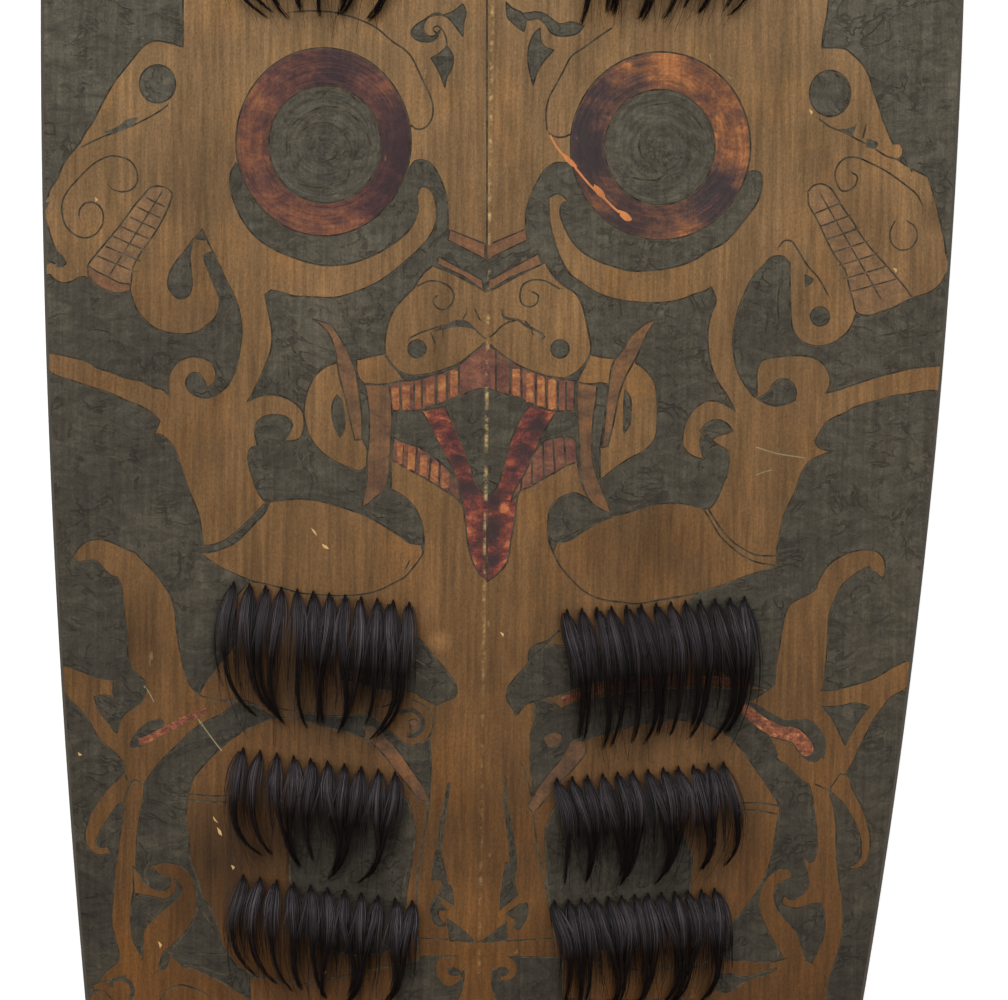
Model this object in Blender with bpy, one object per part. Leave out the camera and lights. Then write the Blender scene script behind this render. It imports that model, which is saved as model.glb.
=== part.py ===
"""A war shield from Borneo: one carved board with its grip, rows of hair locks set in sockets, and two laced rattan bands.

The shield lies on its back. X runs across it, Y along it towards its head, and Z out of its painted face.
Its two long edges are planed flat and carry it, at Z = 0. Its halves differ a little in width, so the ridge stands
beside the middle. Every shape is drawn from the ridge, and each object then moves aside by RIDGE_X.
"""

import math

import bmesh
import bpy
from mathutils import Vector

# The board's outline, in metres
LENGTH = 1.26
HEAD_END = 0.17
FOOT_END = 0.18
WIDEST_AT = 0.25
LEFT_WIDEST = 0.2254
RIGHT_WIDEST = 0.2361
LEFT_AT_FOOT = 0.1813
RIGHT_AT_FOOT = 0.169
SHOULDER_ROUNDING = 0.004
TIP_HALF_WIDTH = 0.006

# The board's section: a ridge in front, a hollow behind
HOLLOW_DEPTH = 0.058
RIDGE_THICKNESS = 0.013
EDGE_THICKNESS = 0.009
RIDGE_ROUNDING = 0.006
HOLLOW_ROUNDING = 0.020
REST_LAND = 0.006
EDGE_CHAMFER = 0.0015

# The grip, carved with the board
GRIP_AT = 0.03
GRIP_SPAN = 0.15
GRIP_FLOOR_GAP = 0.002
GRIP_BAR_WIDTH = 0.030
GRIP_BAR_DEPTH = 0.022
GRIP_FOOT_WIDTH = 0.048
GRIP_FOOT_LENGTH = 0.042
GRIP_CORNER_RADIUS = 0.026
GRIP_FLARE = 0.030

# Clearances between pieces that touch
FIT_GAP = 0.0004
SOCKET_GAP = 0.0004

# The hair locks
LOCK_LENGTH = 0.058
LOCK_WIDTH = 0.0105
LOCK_THICKNESS = 0.005
LOCK_LIFT = 0.009
LOCK_BOW = 0.004
PEG_WIDTH = 0.0028
SOCKET_DEPTH = 0.005

# Each row of hair: its name, its locks, and its first and last root, counted from the ridge outwards
HAIR_ROWS = (
    ("brow_left", 11, (-0.0465, 0.2235), (-0.1275, 0.2275)),
    ("brow_right", 12, (0.0410, 0.2255), (0.1235, 0.2315)),
    ("jaw_left", 12, (-0.0373, -0.1227), (-0.1252, -0.1138)),
    ("jaw_right", 13, (0.0412, -0.1252), (0.1299, -0.1179)),
    ("breast_left", 10, (-0.0432, -0.2071), (-0.1193, -0.1966)),
    ("breast_right", 12, (0.0374, -0.2091), (0.1205, -0.2005)),
    ("belly_left", 11, (-0.0339, -0.2710), (-0.1185, -0.2600)),
    ("belly_right", 13, (0.0371, -0.2701), (0.1168, -0.2636)),
)

# The rattan bands: how far each lies inside its shoulders, and its stitches, an even number
BAND_INSET = 0.030
BAND_EDGE_MARGIN = 0.014
BAND_WIDTH = 0.011
BAND_THICKNESS = 0.0018
LACE_RADIUS = 0.0011
LACE_HOLE_RADIUS = 0.0020
LACE_HOLE_OFFSET = 0.0045
HEAD_STITCHES = 8
FOOT_STITCHES = 6

RIDGE_X = (LEFT_WIDEST - RIGHT_WIDEST) / 2
HEAD_TIP = LENGTH / 2
FOOT_TIP = -LENGTH / 2
HEAD_SHOULDER = HEAD_TIP - HEAD_END
FOOT_SHOULDER = FOOT_TIP + FOOT_END


def side_curve(y, sign):
    """How far the long side stands from the ridge, on the right for sign 1 and on the left for sign -1."""
    widest, at_foot = (RIGHT_WIDEST, RIGHT_AT_FOOT) if sign > 0 else (LEFT_WIDEST, LEFT_AT_FOOT)
    along = (y - WIDEST_AT) / (FOOT_SHOULDER - WIDEST_AT)
    return widest - (widest - at_foot) * along**2


def rounded_min(a, b):
    return (a + b - math.hypot(a - b, 2 * SHOULDER_ROUNDING)) / 2


def outline(y, sign):
    """The board's half width: its long side, cut by the straight edges of the two pointed ends."""
    half = side_curve(y, sign)
    for tip, shoulder in ((HEAD_TIP, HEAD_SHOULDER), (FOOT_TIP, FOOT_SHOULDER)):
        share = (tip - y) / (tip - shoulder)
        at_shoulder = side_curve(shoulder, sign)
        half = rounded_min(half, TIP_HALF_WIDTH + SHOULDER_ROUNDING + (at_shoulder - TIP_HALF_WIDTH) * share)
    return half


def sweep(x, rounding):
    """The distance from the ridge, eased to a round at the ridge itself."""
    return math.hypot(x, rounding) - rounding


def hollow_height(y):
    """The height of the hollow under the ridge. It bows as the sides do, so both long edges lie in one plane."""
    return HOLLOW_DEPTH * (side_curve(y, 1) + side_curve(y, -1)) / (RIGHT_WIDEST + LEFT_WIDEST)


def fall(x, y, rounding):
    """The share of the section's height that is lost between the ridge and this place."""
    land_starts = side_curve(y, 1 if x >= 0 else -1) - REST_LAND
    return sweep(x, rounding) / sweep(land_starts, rounding)


def face_z(x, y):
    rise = hollow_height(y) + RIDGE_THICKNESS - EDGE_THICKNESS
    return EDGE_THICKNESS + rise * (1 - fall(x, y, RIDGE_ROUNDING))


def back_z(x, y):
    return max(0.0, hollow_height(y) * (1 - fall(x, y, HOLLOW_ROUNDING)))


def new_object(name, mesh, material, helper=False):
    obj = bpy.data.objects.new(name, mesh)
    obj.location.x = RIDGE_X
    bpy.context.scene.collection.objects.link(obj)
    if helper:
        obj.hide_render = True
        obj.display_type = "WIRE"
    else:
        mesh.materials.append(material)
    return obj


def finish_mesh(name, bm):
    bmesh.ops.recalc_face_normals(bm, faces=bm.faces)
    mesh = bpy.data.meshes.new(name)
    bm.to_mesh(mesh)
    bm.free()
    return mesh


def add_loft(bm, rings):
    """Joins rings of points, each with as many points, and caps both ends. A ring of one point is a tip."""
    made = [[bm.verts.new(p) for p in ring] for ring in rings]
    for low, high in zip(made, made[1:]):
        count = len(low)
        for i in range(count):
            j = (i + 1) % count
            if len(high) == 1:
                bm.faces.new((low[i], low[j], high[0]))
            else:
                bm.faces.new((low[i], low[j], high[j], high[i]))
    bm.faces.new(made[0])
    if len(made[-1]) > 1:
        bm.faces.new(made[-1])


def loft_mesh(name, solids):
    bm = bmesh.new()
    for rings in solids:
        add_loft(bm, rings)
    return finish_mesh(name, bm)


def boolean(obj, other, operation):
    modifier = obj.modifiers.new(operation.lower(), "BOOLEAN")
    modifier.operation = operation
    modifier.solver = "EXACT"
    modifier.object = other


def material(name, colour, roughness):
    made = bpy.data.materials.new(name)
    made.use_nodes = True
    shader = made.node_tree.nodes["Principled BSDF"]
    shader.inputs["Base Color"].default_value = (*colour, 1)
    shader.inputs["Roughness"].default_value = roughness
    shader.inputs["Metallic"].default_value = 0.0
    return made


def columns(half):
    """Where the section has points, from the ridge outwards to the planed land."""
    near_ridge = [min(x, share * half) for x, share in ((0.005, 0.15), (0.014, 0.3), (0.032, 0.45))]
    land_starts = half - min(REST_LAND, 0.15 * half)
    return [0.0, *near_ridge, 0.55 * half, 0.78 * half, land_starts]


def board_section(y):
    """One closed ring of the board, round its face from left to right and back under the hollow."""
    face, back = [], []
    for sign in (-1, 1):
        half = outline(y, sign)
        chamfer = min(EDGE_CHAMFER, half / 4)
        inner = [sign * x for x in columns(half)]
        rim = sign * (half - chamfer)
        side = sign * half
        up = [(x, y, face_z(x, y)) for x in inner + [rim]]
        up.append((side, y, face_z(rim, y) - chamfer))
        down = [(x, y, back_z(x, y)) for x in inner + [rim]]
        down.append((side, y, back_z(rim, y) + chamfer))
        face.append(up)
        back.append(down)
    left_to_right = face[0][::-1] + face[1][1:]
    right_to_left = back[1][::-1] + back[0][1:]
    return left_to_right + right_to_left


def board_stations():
    """Where the sections stand along the board, closer together at the shoulders."""
    around_shoulder = (-0.030, -0.012, -0.004, 0.004, 0.012, 0.030)
    body = 9
    places = [FOOT_SHOULDER + step for step in around_shoulder]
    places += [HEAD_SHOULDER + step for step in around_shoulder]
    low, high = places[len(around_shoulder) - 1], places[len(around_shoulder)]
    places += [low + (high - low) * i / body for i in range(1, body)]
    places += [FOOT_TIP, FOOT_TIP + FOOT_END / 3, FOOT_TIP + FOOT_END * 2 / 3]
    places += [HEAD_TIP, HEAD_TIP - HEAD_END / 3, HEAD_TIP - HEAD_END * 2 / 3]
    return sorted(places)


def grip_path():
    """The grip's centre line and half sizes, from its head foot round to its other foot: (y, z, tilt, across, deep)."""
    bar_z = GRIP_FLOOR_GAP + GRIP_BAR_DEPTH / 2
    arc_steps = 4
    half_path = []
    foot_y = GRIP_SPAN / 2
    foot_z = back_z(0, GRIP_AT) + 0.4 * RIDGE_THICKNESS
    arc_top = bar_z + GRIP_CORNER_RADIUS
    drop = foot_z - arc_top
    for share in (0.0, 0.45, 0.8):
        half_path.append((foot_y, foot_z - drop * share, math.pi / 2))
    for i in range(arc_steps + 1):
        turn = math.pi / 2 * i / arc_steps
        y = foot_y - GRIP_CORNER_RADIUS * (1 - math.cos(turn))
        z = arc_top - GRIP_CORNER_RADIUS * math.sin(turn)
        half_path.append((y, z, math.pi / 2 - turn))
    placed = []
    for y, z, tilt in half_path:
        below_foot = foot_z - z
        flare = max(0.0, 1 - below_foot / GRIP_FLARE) ** 1.5
        across = (GRIP_BAR_WIDTH + (GRIP_FOOT_WIDTH - GRIP_BAR_WIDTH) * flare) / 2
        deep = (GRIP_BAR_DEPTH + (GRIP_FOOT_LENGTH - GRIP_BAR_DEPTH) * flare) / 2
        placed.append((y, z, tilt, across, deep))
    mirrored = [(-y, z, -tilt, across, deep) for y, z, tilt, across, deep in reversed(placed)]
    return placed + mirrored


def grip_mesh():
    """The grip as a bent round bar that flares where it grows out of the board."""
    sides = 12
    rings = []
    for y, z, tilt, across, deep in grip_path():
        outward_y, outward_z = math.sin(tilt), -math.cos(tilt)
        ring = []
        for i in range(sides):
            angle = 2 * math.pi * (i + 0.5) / sides
            out = deep * math.sin(angle)
            ring.append((across * math.cos(angle), GRIP_AT + y + out * outward_y, z + out * outward_z))
        rings.append(ring)
    return loft_mesh("grip_shape", [rings])


def row_roots(count, first, last):
    """The roots of one row of hair, evenly spaced on the board's face."""
    for i in range(count):
        share = i / (count - 1)
        yield tuple(a + (b - a) * share for a, b in zip(first, last))


def face_axes(x, y):
    """The directions across the face and out of it, at a place on it."""
    step = 0.001
    slope = (face_z(x + step, y) - face_z(x - step, y)) / (2 * step)
    across = Vector((1, 0, slope)).normalized()
    return across, across.cross(Vector((0, 1, 0)))


def lock_rings(x, y):
    """One lock of hair: a peg in its socket, then a three-sided lock that bulges out, bows aside and comes to a point."""
    sign = 1 if x > 0 else -1
    across, out = face_axes(x, y)
    stations = (
        (0.0, -SOCKET_DEPTH + SOCKET_GAP, 0.0, PEG_WIDTH, PEG_WIDTH),
        (0.0, 0.0015, 0.0, PEG_WIDTH, PEG_WIDTH),
        (0.2, LOCK_LIFT, 0.5, LOCK_WIDTH, LOCK_THICKNESS),
        (0.6, 0.75 * LOCK_LIFT, 1.0, 0.8 * LOCK_WIDTH, 0.8 * LOCK_THICKNESS),
    )
    centres = []
    for along, height, bow, _, _ in stations + ((1.0, 0.2 * LOCK_LIFT, 0.0, 0, 0),):
        foot_x, foot_y = x + sign * LOCK_BOW * bow, y - LOCK_LENGTH * along
        centres.append(Vector((foot_x, foot_y, face_z(foot_x, foot_y))) + out * height)
    rings = []
    for i, (_, _, _, width, thickness) in enumerate(stations):
        if i == 0:
            ahead = out
        else:
            ahead = ((centres[i] - centres[i - 1]).normalized() + (centres[i + 1] - centres[i]).normalized())
            ahead = (ahead - across * ahead.dot(across)).normalized()
        if i == 1:
            ahead = out
        crest = ahead.cross(across)
        corners = ((-0.5, -0.33), (0.5, -0.33), (0.0, 0.67))
        rings.append([centres[i] + across * (u * width) + crest * (v * thickness) for u, v in corners])
    rings.append([centres[-1]])
    return rings


def socket_rings(x, y):
    """The cutter of one hair socket, a little wider than the peg and standing clear of the face."""
    across, out = face_axes(x, y)
    along = Vector((0, 1, 0))
    half = PEG_WIDTH / 2 + SOCKET_GAP
    middle = along * (PEG_WIDTH * 0.17)
    face = Vector((x, y, face_z(x, y))) + middle
    corners = ((-1, -1), (1, -1), (1, 1), (-1, 1))
    return [
        [face + across * (u * half) + along * (v * half) + out * height for u, v in corners]
        for height in (-SOCKET_DEPTH, SOCKET_DEPTH / 2)
    ]


def band_reach(y, sign):
    return sign * (outline(y, sign) - BAND_EDGE_MARGIN)


def strip_mesh(name, y, in_front):
    """A flat cane that lies across the board, on its face or in its hollow."""
    places = [band_reach(y, -1)]
    for sign in (-1, 1):
        inner = [sign * x for x in columns(outline(y, sign)) if x < abs(band_reach(y, sign)) - BAND_WIDTH]
        places += inner[::-1] if sign < 0 else inner[1:]
    places.append(band_reach(y, 1))
    rings = []
    for x in places:
        if in_front:
            low = face_z(x, y) + FIT_GAP
        else:
            low = back_z(x, y) - FIT_GAP - BAND_THICKNESS
        corners = ((-1, 0), (1, 0), (1, 1), (-1, 1))
        rings.append([(x, y + v * BAND_WIDTH / 2, low + up * BAND_THICKNESS) for v, up in corners])
    return loft_mesh(name, [rings])


def lace_holes(y, stitches):
    """Where the lacing goes through: pairs of places, below and above the band, one pair for each stitch."""
    low, high = band_reach(y, -1), band_reach(y, 1)
    pitch = (high - low) / stitches
    reach = BAND_WIDTH / 2 + LACE_HOLE_OFFSET
    for i in range(stitches):
        middle = low + pitch * (i + 0.5)
        yield (middle - pitch / 4, y - reach), (middle + pitch / 4, y + reach)


def lace_curve(name, y, stitches):
    """The lacing: up through one hole, across the front cane, down the next hole, and back across the hollow's cane."""
    proud = FIT_GAP + LACE_RADIUS * 1.1
    over_band = BAND_THICKNESS + FIT_GAP + proud
    points = []
    holes = list(lace_holes(y, stitches))
    bend = (BAND_WIDTH / 2 + LACE_RADIUS) / (BAND_WIDTH / 2 + LACE_HOLE_OFFSET)
    for i, (below, above) in enumerate(holes):
        points.append((*below, back_z(*below) - proud))
        points.append((*below, face_z(*below) + proud))
        for share in (-bend, bend):
            x = (below[0] + above[0]) / 2 + share * (above[0] - below[0]) / 2
            across_y = y + share * (above[1] - y)
            points.append((x, across_y, face_z(x, across_y) + over_band))
        points.append((*above, face_z(*above) + proud))
        points.append((*above, back_z(*above) - proud))
        if i + 1 < len(holes):
            onward = holes[i + 1][0]
            for share in (-bend, bend):
                x = (above[0] + onward[0]) / 2 + share * (onward[0] - above[0]) / 2
                across_y = y - share * (above[1] - y)
                points.append((x, across_y, back_z(x, across_y) - over_band))
    curve = bpy.data.curves.new(name, "CURVE")
    curve.dimensions = "3D"
    curve.bevel_depth = LACE_RADIUS
    curve.bevel_resolution = 0
    curve.use_fill_caps = True
    spline = curve.splines.new("POLY")
    spline.points.add(len(points) - 1)
    for point, place in zip(spline.points, points):
        point.co = (*place, 1)
    return curve


def hole_rings(x, y):
    sides = 6
    low, high = back_z(x, y) - EDGE_THICKNESS, face_z(x, y) + EDGE_THICKNESS
    turns = [2 * math.pi * i / sides for i in range(sides)]
    return [
        [(x + LACE_HOLE_RADIUS * math.cos(t), y + LACE_HOLE_RADIUS * math.sin(t), z) for t in turns]
        for z in (low, high)
    ]


def build_board(wood, bands):
    rings = [board_section(y) for y in board_stations()]
    board = new_object("shield_board", loft_mesh("shield_board", [rings]), wood)
    grip = new_object("grip_shape", grip_mesh(), None, helper=True)
    boolean(board, grip, "UNION")
    cuts = [socket_rings(*root) for _, count, first, last in HAIR_ROWS for root in row_roots(count, first, last)]
    for y, stitches in bands.values():
        cuts += [hole_rings(*hole) for pair in lace_holes(y, stitches) for hole in pair]
    cutter = new_object("sockets_and_holes", loft_mesh("sockets_and_holes", cuts), None, helper=True)
    boolean(board, cutter, "DIFFERENCE")


def build_hair(name, count, first, last, hair):
    """A row of locks, joined where neighbours touch: every second lock is a helper that the others take in."""
    locks = [lock_rings(*root) for root in row_roots(count, first, last)]
    row = new_object(f"hair_row_{name}", loft_mesh(f"hair_row_{name}", locks[::2]), hair)
    between = new_object(f"locks_between_{name}", loft_mesh(f"locks_between_{name}", locks[1::2]), None, helper=True)
    boolean(row, between, "UNION")


def build_band(end, y, stitches, rattan):
    new_object(f"{end}_band_front_cane", strip_mesh(f"{end}_band_front_cane", y, True), rattan)
    new_object(f"{end}_band_back_cane", strip_mesh(f"{end}_band_back_cane", y, False), rattan)
    new_object(f"{end}_band_lacing", lace_curve(f"{end}_band_lacing", y, stitches), rattan)


def main():
    for obj in list(bpy.data.objects):
        bpy.data.objects.remove(obj)
    wood = material("painted_wood", (0.16, 0.10, 0.05), 0.7)
    hair = material("black_hair", (0.015, 0.010, 0.008), 0.45)
    rattan = material("rattan", (0.32, 0.19, 0.08), 0.6)
    bands = {
        "head": (HEAD_SHOULDER - BAND_INSET, HEAD_STITCHES),
        "foot": (FOOT_SHOULDER + BAND_INSET, FOOT_STITCHES),
    }
    build_board(wood, bands)
    for name, count, first, last in HAIR_ROWS:
        build_hair(name, count, first, last, hair)
    for end, (y, stitches) in bands.items():
        build_band(end, y, stitches, rattan)


main()
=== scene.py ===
"""The looks of the Dayak war shield: its carved and painted face, its hair rows and its rattan bands."""

import math
import random

import bpy
import numpy as np
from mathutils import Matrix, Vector, geometry, kdtree, noise


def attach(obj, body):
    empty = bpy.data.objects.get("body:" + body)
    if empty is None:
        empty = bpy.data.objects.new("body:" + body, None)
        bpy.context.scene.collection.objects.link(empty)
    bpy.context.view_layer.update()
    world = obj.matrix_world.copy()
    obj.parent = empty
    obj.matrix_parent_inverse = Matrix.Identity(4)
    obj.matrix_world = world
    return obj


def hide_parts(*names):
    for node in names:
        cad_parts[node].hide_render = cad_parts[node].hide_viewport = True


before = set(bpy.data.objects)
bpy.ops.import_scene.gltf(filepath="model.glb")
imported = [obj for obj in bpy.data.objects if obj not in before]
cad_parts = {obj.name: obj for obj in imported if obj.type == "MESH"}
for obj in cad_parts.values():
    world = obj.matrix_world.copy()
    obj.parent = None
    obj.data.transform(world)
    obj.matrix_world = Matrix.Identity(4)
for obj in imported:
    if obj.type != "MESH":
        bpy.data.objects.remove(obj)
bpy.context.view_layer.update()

# The board's sizes in metres, as the part's source has them. Its sides follow the photograph's edges
LENGTH = 1.26
HEAD_END = 0.17
FOOT_END = 0.18
WIDEST_AT = 0.25
LEFT_WIDEST = 0.2270
RIGHT_WIDEST = 0.2368
LEFT_AT_FOOT = 0.1829
RIGHT_AT_FOOT = 0.1697
SHOULDER_ROUNDING = 0.004
TIP_HALF_WIDTH = 0.006
HOLLOW_DEPTH = 0.058
RIDGE_THICKNESS = 0.013
EDGE_THICKNESS = 0.009
RIDGE_ROUNDING = 0.006
HOLLOW_ROUNDING = 0.020
REST_LAND = 0.006
EDGE_CHAMFER = 0.0015
GRIP_AT = 0.03
GRIP_SPAN = 0.15
GRIP_FLOOR_GAP = 0.002
GRIP_BAR_WIDTH = 0.030
GRIP_BAR_DEPTH = 0.022
GRIP_FOOT_WIDTH = 0.048
GRIP_FOOT_LENGTH = 0.042
GRIP_CORNER_RADIUS = 0.026
GRIP_FLARE = 0.030
RIDGE_X = -0.00535
HEAD_TIP = LENGTH / 2
FOOT_TIP = -LENGTH / 2
HEAD_SHOULDER = HEAD_TIP - HEAD_END
FOOT_SHOULDER = FOOT_TIP + FOOT_END
HAIR_ROWS = (
    ("brow_left", 11, (-0.0465, 0.2235), (-0.1275, 0.2275)),
    ("brow_right", 12, (0.0410, 0.2255), (0.1235, 0.2315)),
    ("jaw_left", 12, (-0.0373, -0.1227), (-0.1252, -0.1138)),
    ("jaw_right", 13, (0.0412, -0.1252), (0.1299, -0.1179)),
    ("breast_left", 10, (-0.0432, -0.2071), (-0.1193, -0.1966)),
    ("breast_right", 12, (0.0374, -0.2091), (0.1205, -0.2005)),
    ("belly_left", 11, (-0.0339, -0.2710), (-0.1185, -0.2600)),
    ("belly_right", 13, (0.0371, -0.2701), (0.1168, -0.2636)),
)
BAND_INSET = 0.030
BAND_EDGE_MARGIN = 0.014
BAND_WIDTH = 0.011
BAND_THICKNESS = 0.0018
FIT_GAP = 0.0004
LACE_RADIUS = 0.0011
LACE_HOLE_OFFSET = 0.0045
BANDS = {"head": (HEAD_SHOULDER - BAND_INSET, 8), "foot": (FOOT_SHOULDER + BAND_INSET, 6)}

# How the photograph's pixels lie on the shield
PIXEL = 0.0005
RIDGE_PIXEL = 485.75
ORIGIN_ROW = 360
MIDDLE_ROW = 500
MIDDLE_COLUMN = 504
PHOTO_WIDTH = 1008
TILT = 0.0135
FOCUS_Z = 0.02
CAMERA_Z = 6.0
SENSOR = 36.0

CAMERA_X = PIXEL * (MIDDLE_COLUMN - RIDGE_PIXEL)
CAMERA_Y = PIXEL * (ORIGIN_ROW - MIDDLE_ROW + TILT * (MIDDLE_COLUMN - RIDGE_PIXEL))


def side_curve(y, sign):
    """How far the long side stands from the ridge, on the right for sign 1 and on the left for sign -1."""
    widest = np.where(np.asarray(sign) > 0, RIGHT_WIDEST, LEFT_WIDEST)
    at_foot = np.where(np.asarray(sign) > 0, RIGHT_AT_FOOT, LEFT_AT_FOOT)
    along = (y - WIDEST_AT) / (FOOT_SHOULDER - WIDEST_AT)
    return widest - (widest - at_foot) * along**2


def rounded_min(a, b):
    return (a + b - np.hypot(a - b, 2 * SHOULDER_ROUNDING)) / 2


def outline(y, sign):
    half = side_curve(y, sign)
    for tip, shoulder in ((HEAD_TIP, HEAD_SHOULDER), (FOOT_TIP, FOOT_SHOULDER)):
        share = (tip - y) / (tip - shoulder)
        at_shoulder = side_curve(shoulder, sign)
        half = rounded_min(half, TIP_HALF_WIDTH + SHOULDER_ROUNDING + (at_shoulder - TIP_HALF_WIDTH) * share)
    return half


def sweep(x, rounding):
    return np.hypot(x, rounding) - rounding


def hollow_height(y):
    return HOLLOW_DEPTH * (side_curve(y, 1) + side_curve(y, -1)) / (RIGHT_WIDEST + LEFT_WIDEST)


def fall(x, y, rounding):
    land_starts = side_curve(y, np.where(np.asarray(x) >= 0, 1, -1)) - REST_LAND
    return sweep(x, rounding) / sweep(land_starts, rounding)


def face_z(x, y):
    rise = hollow_height(y) + RIDGE_THICKNESS - EDGE_THICKNESS
    return EDGE_THICKNESS + rise * (1 - fall(x, y, RIDGE_ROUNDING))


def back_z(x, y):
    return np.maximum(0.0, hollow_height(y) * (1 - fall(x, y, HOLLOW_ROUNDING)))


def on_face(column, row):
    """The place on the face, from the ridge, that shows at this pixel of the photograph."""
    x0 = PIXEL * (column - RIDGE_PIXEL + TILT * (row - MIDDLE_ROW))
    y0 = PIXEL * (ORIGIN_ROW - row + TILT * (column - RIDGE_PIXEL))
    x, y = x0, y0
    for _ in range(3):
        nearer = (face_z(x, y) - FOCUS_Z) / (CAMERA_Z - FOCUS_Z)
        x = x0 + (CAMERA_X - x0) * nearer
        y = y0 + (CAMERA_Y - y0) * nearer
    return x, y


# Camera and lights

CLIP_END = 100
# Each area light's name, place, width and height in metres, and power in watts. All aim at the middle
LIGHTS = (
    ("head_key", (-0.35, 1.7, 1.7), (1.6, 1.2), 46),
    ("foot_fill", (0.5, -1.7, 1.8), (1.8, 1.4), 17),
    ("left_fill", (-1.9, 0.1, 1.5), (1.6, 1.6), 15),
    ("right_fill", (1.9, 0.1, 1.5), (1.6, 1.6), 15),
)
SKY_COLOUR = (1.0, 0.99, 0.97, 1)
SKY_STRENGTH = 0.62
FLOOR_REACH = 6.0
FLOOR_DROP = 0.0005
FLOOR_COLOUR = (0.93, 0.93, 0.93)
FLOOR_GLOW = 0.28


def make_camera():
    camera = bpy.data.cameras.new("camera")
    camera.type = "PERSP"
    camera.sensor_width = SENSOR
    camera.lens = SENSOR * (CAMERA_Z - FOCUS_Z) / (PIXEL * PHOTO_WIDTH)
    camera.clip_end = CLIP_END
    holder = bpy.data.objects.new("camera", camera)
    holder.location = (RIDGE_X + CAMERA_X, CAMERA_Y, CAMERA_Z)
    holder.rotation_euler = (0, 0, TILT)
    bpy.context.scene.collection.objects.link(holder)
    bpy.context.scene.camera = holder


def make_lights():
    for name, place, size, power in LIGHTS:
        light = bpy.data.lights.new(name, "AREA")
        light.shape = "RECTANGLE"
        light.size, light.size_y = size
        light.energy = power
        holder = bpy.data.objects.new(name, light)
        holder.location = place
        holder.rotation_euler = (-Vector(place)).to_track_quat("-Z", "Y").to_euler()
        bpy.context.scene.collection.objects.link(holder)
    world = bpy.data.worlds.new("studio")
    world.use_nodes = True
    background = world.node_tree.nodes["Background"]
    background.inputs["Color"].default_value = SKY_COLOUR
    background.inputs["Strength"].default_value = SKY_STRENGTH
    bpy.context.scene.world = world
    bpy.context.scene.view_settings.view_transform = "Standard"


def make_floor():
    mesh = bpy.data.meshes.new("floor")
    corners = [(x * FLOOR_REACH, y * FLOOR_REACH, 0) for x, y in ((-1, -1), (1, -1), (1, 1), (-1, 1))]
    mesh.from_pydata(corners, [], [(0, 1, 2, 3)])
    floor = bpy.data.objects.new("floor", mesh)
    floor.location.z = -FLOOR_DROP
    bpy.context.scene.collection.objects.link(floor)
    made = Nodes("studio_floor")
    made.colour(FLOOR_COLOUR)
    made.set(made.shader.inputs["Roughness"], 0.9)
    made.shader.inputs["Emission Color"].default_value = (1, 1, 1, 1)
    made.shader.inputs["Emission Strength"].default_value = FLOOR_GLOW
    mesh.materials.append(made.material)


# Materials

STROKE_TURNS = 1.7
STROKES_PER_METRE = 620.0
RUBBED_COLOUR = (0.46, 0.32, 0.13)
OCHRES = (0.112, 0.068, 0.030), (0.150, 0.088, 0.040), (0.196, 0.112, 0.047)
WARM_OCHRE = (0.230, 0.115, 0.038)
CHARCOALS = (0.034, 0.029, 0.020), (0.055, 0.048, 0.034), (0.084, 0.074, 0.053)
WORN_CHARCOAL = (0.13, 0.10, 0.065)
BACK_BROWNS = (0.085, 0.050, 0.026), (0.125, 0.076, 0.040), (0.165, 0.105, 0.058)
EDGE_BROWNS = (0.022, 0.018, 0.012), (0.042, 0.034, 0.023), (0.090, 0.068, 0.042)
LINE_BROWNS = (0.020, 0.017, 0.012), (0.088, 0.070, 0.046)
RATTANS = (0.10, 0.055, 0.022), (0.20, 0.115, 0.048), (0.30, 0.18, 0.080)
# The hair's colour at shares of the way down it, with a painted sheen on its upper part
HAIR_COLOURS_AND_SHEEN = (
    (0.0, (0.014, 0.010, 0.011)), (0.06, (0.052, 0.044, 0.048)), (0.17, (0.070, 0.060, 0.065)),
    (0.30, (0.040, 0.032, 0.034)), (0.44, (0.009, 0.005, 0.004)), (1.0, (0.0035, 0.0014, 0.001)),
)
GLAZE_LEVELS = (0.33, 0.43, 0.51, 0.59, 0.68)


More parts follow.
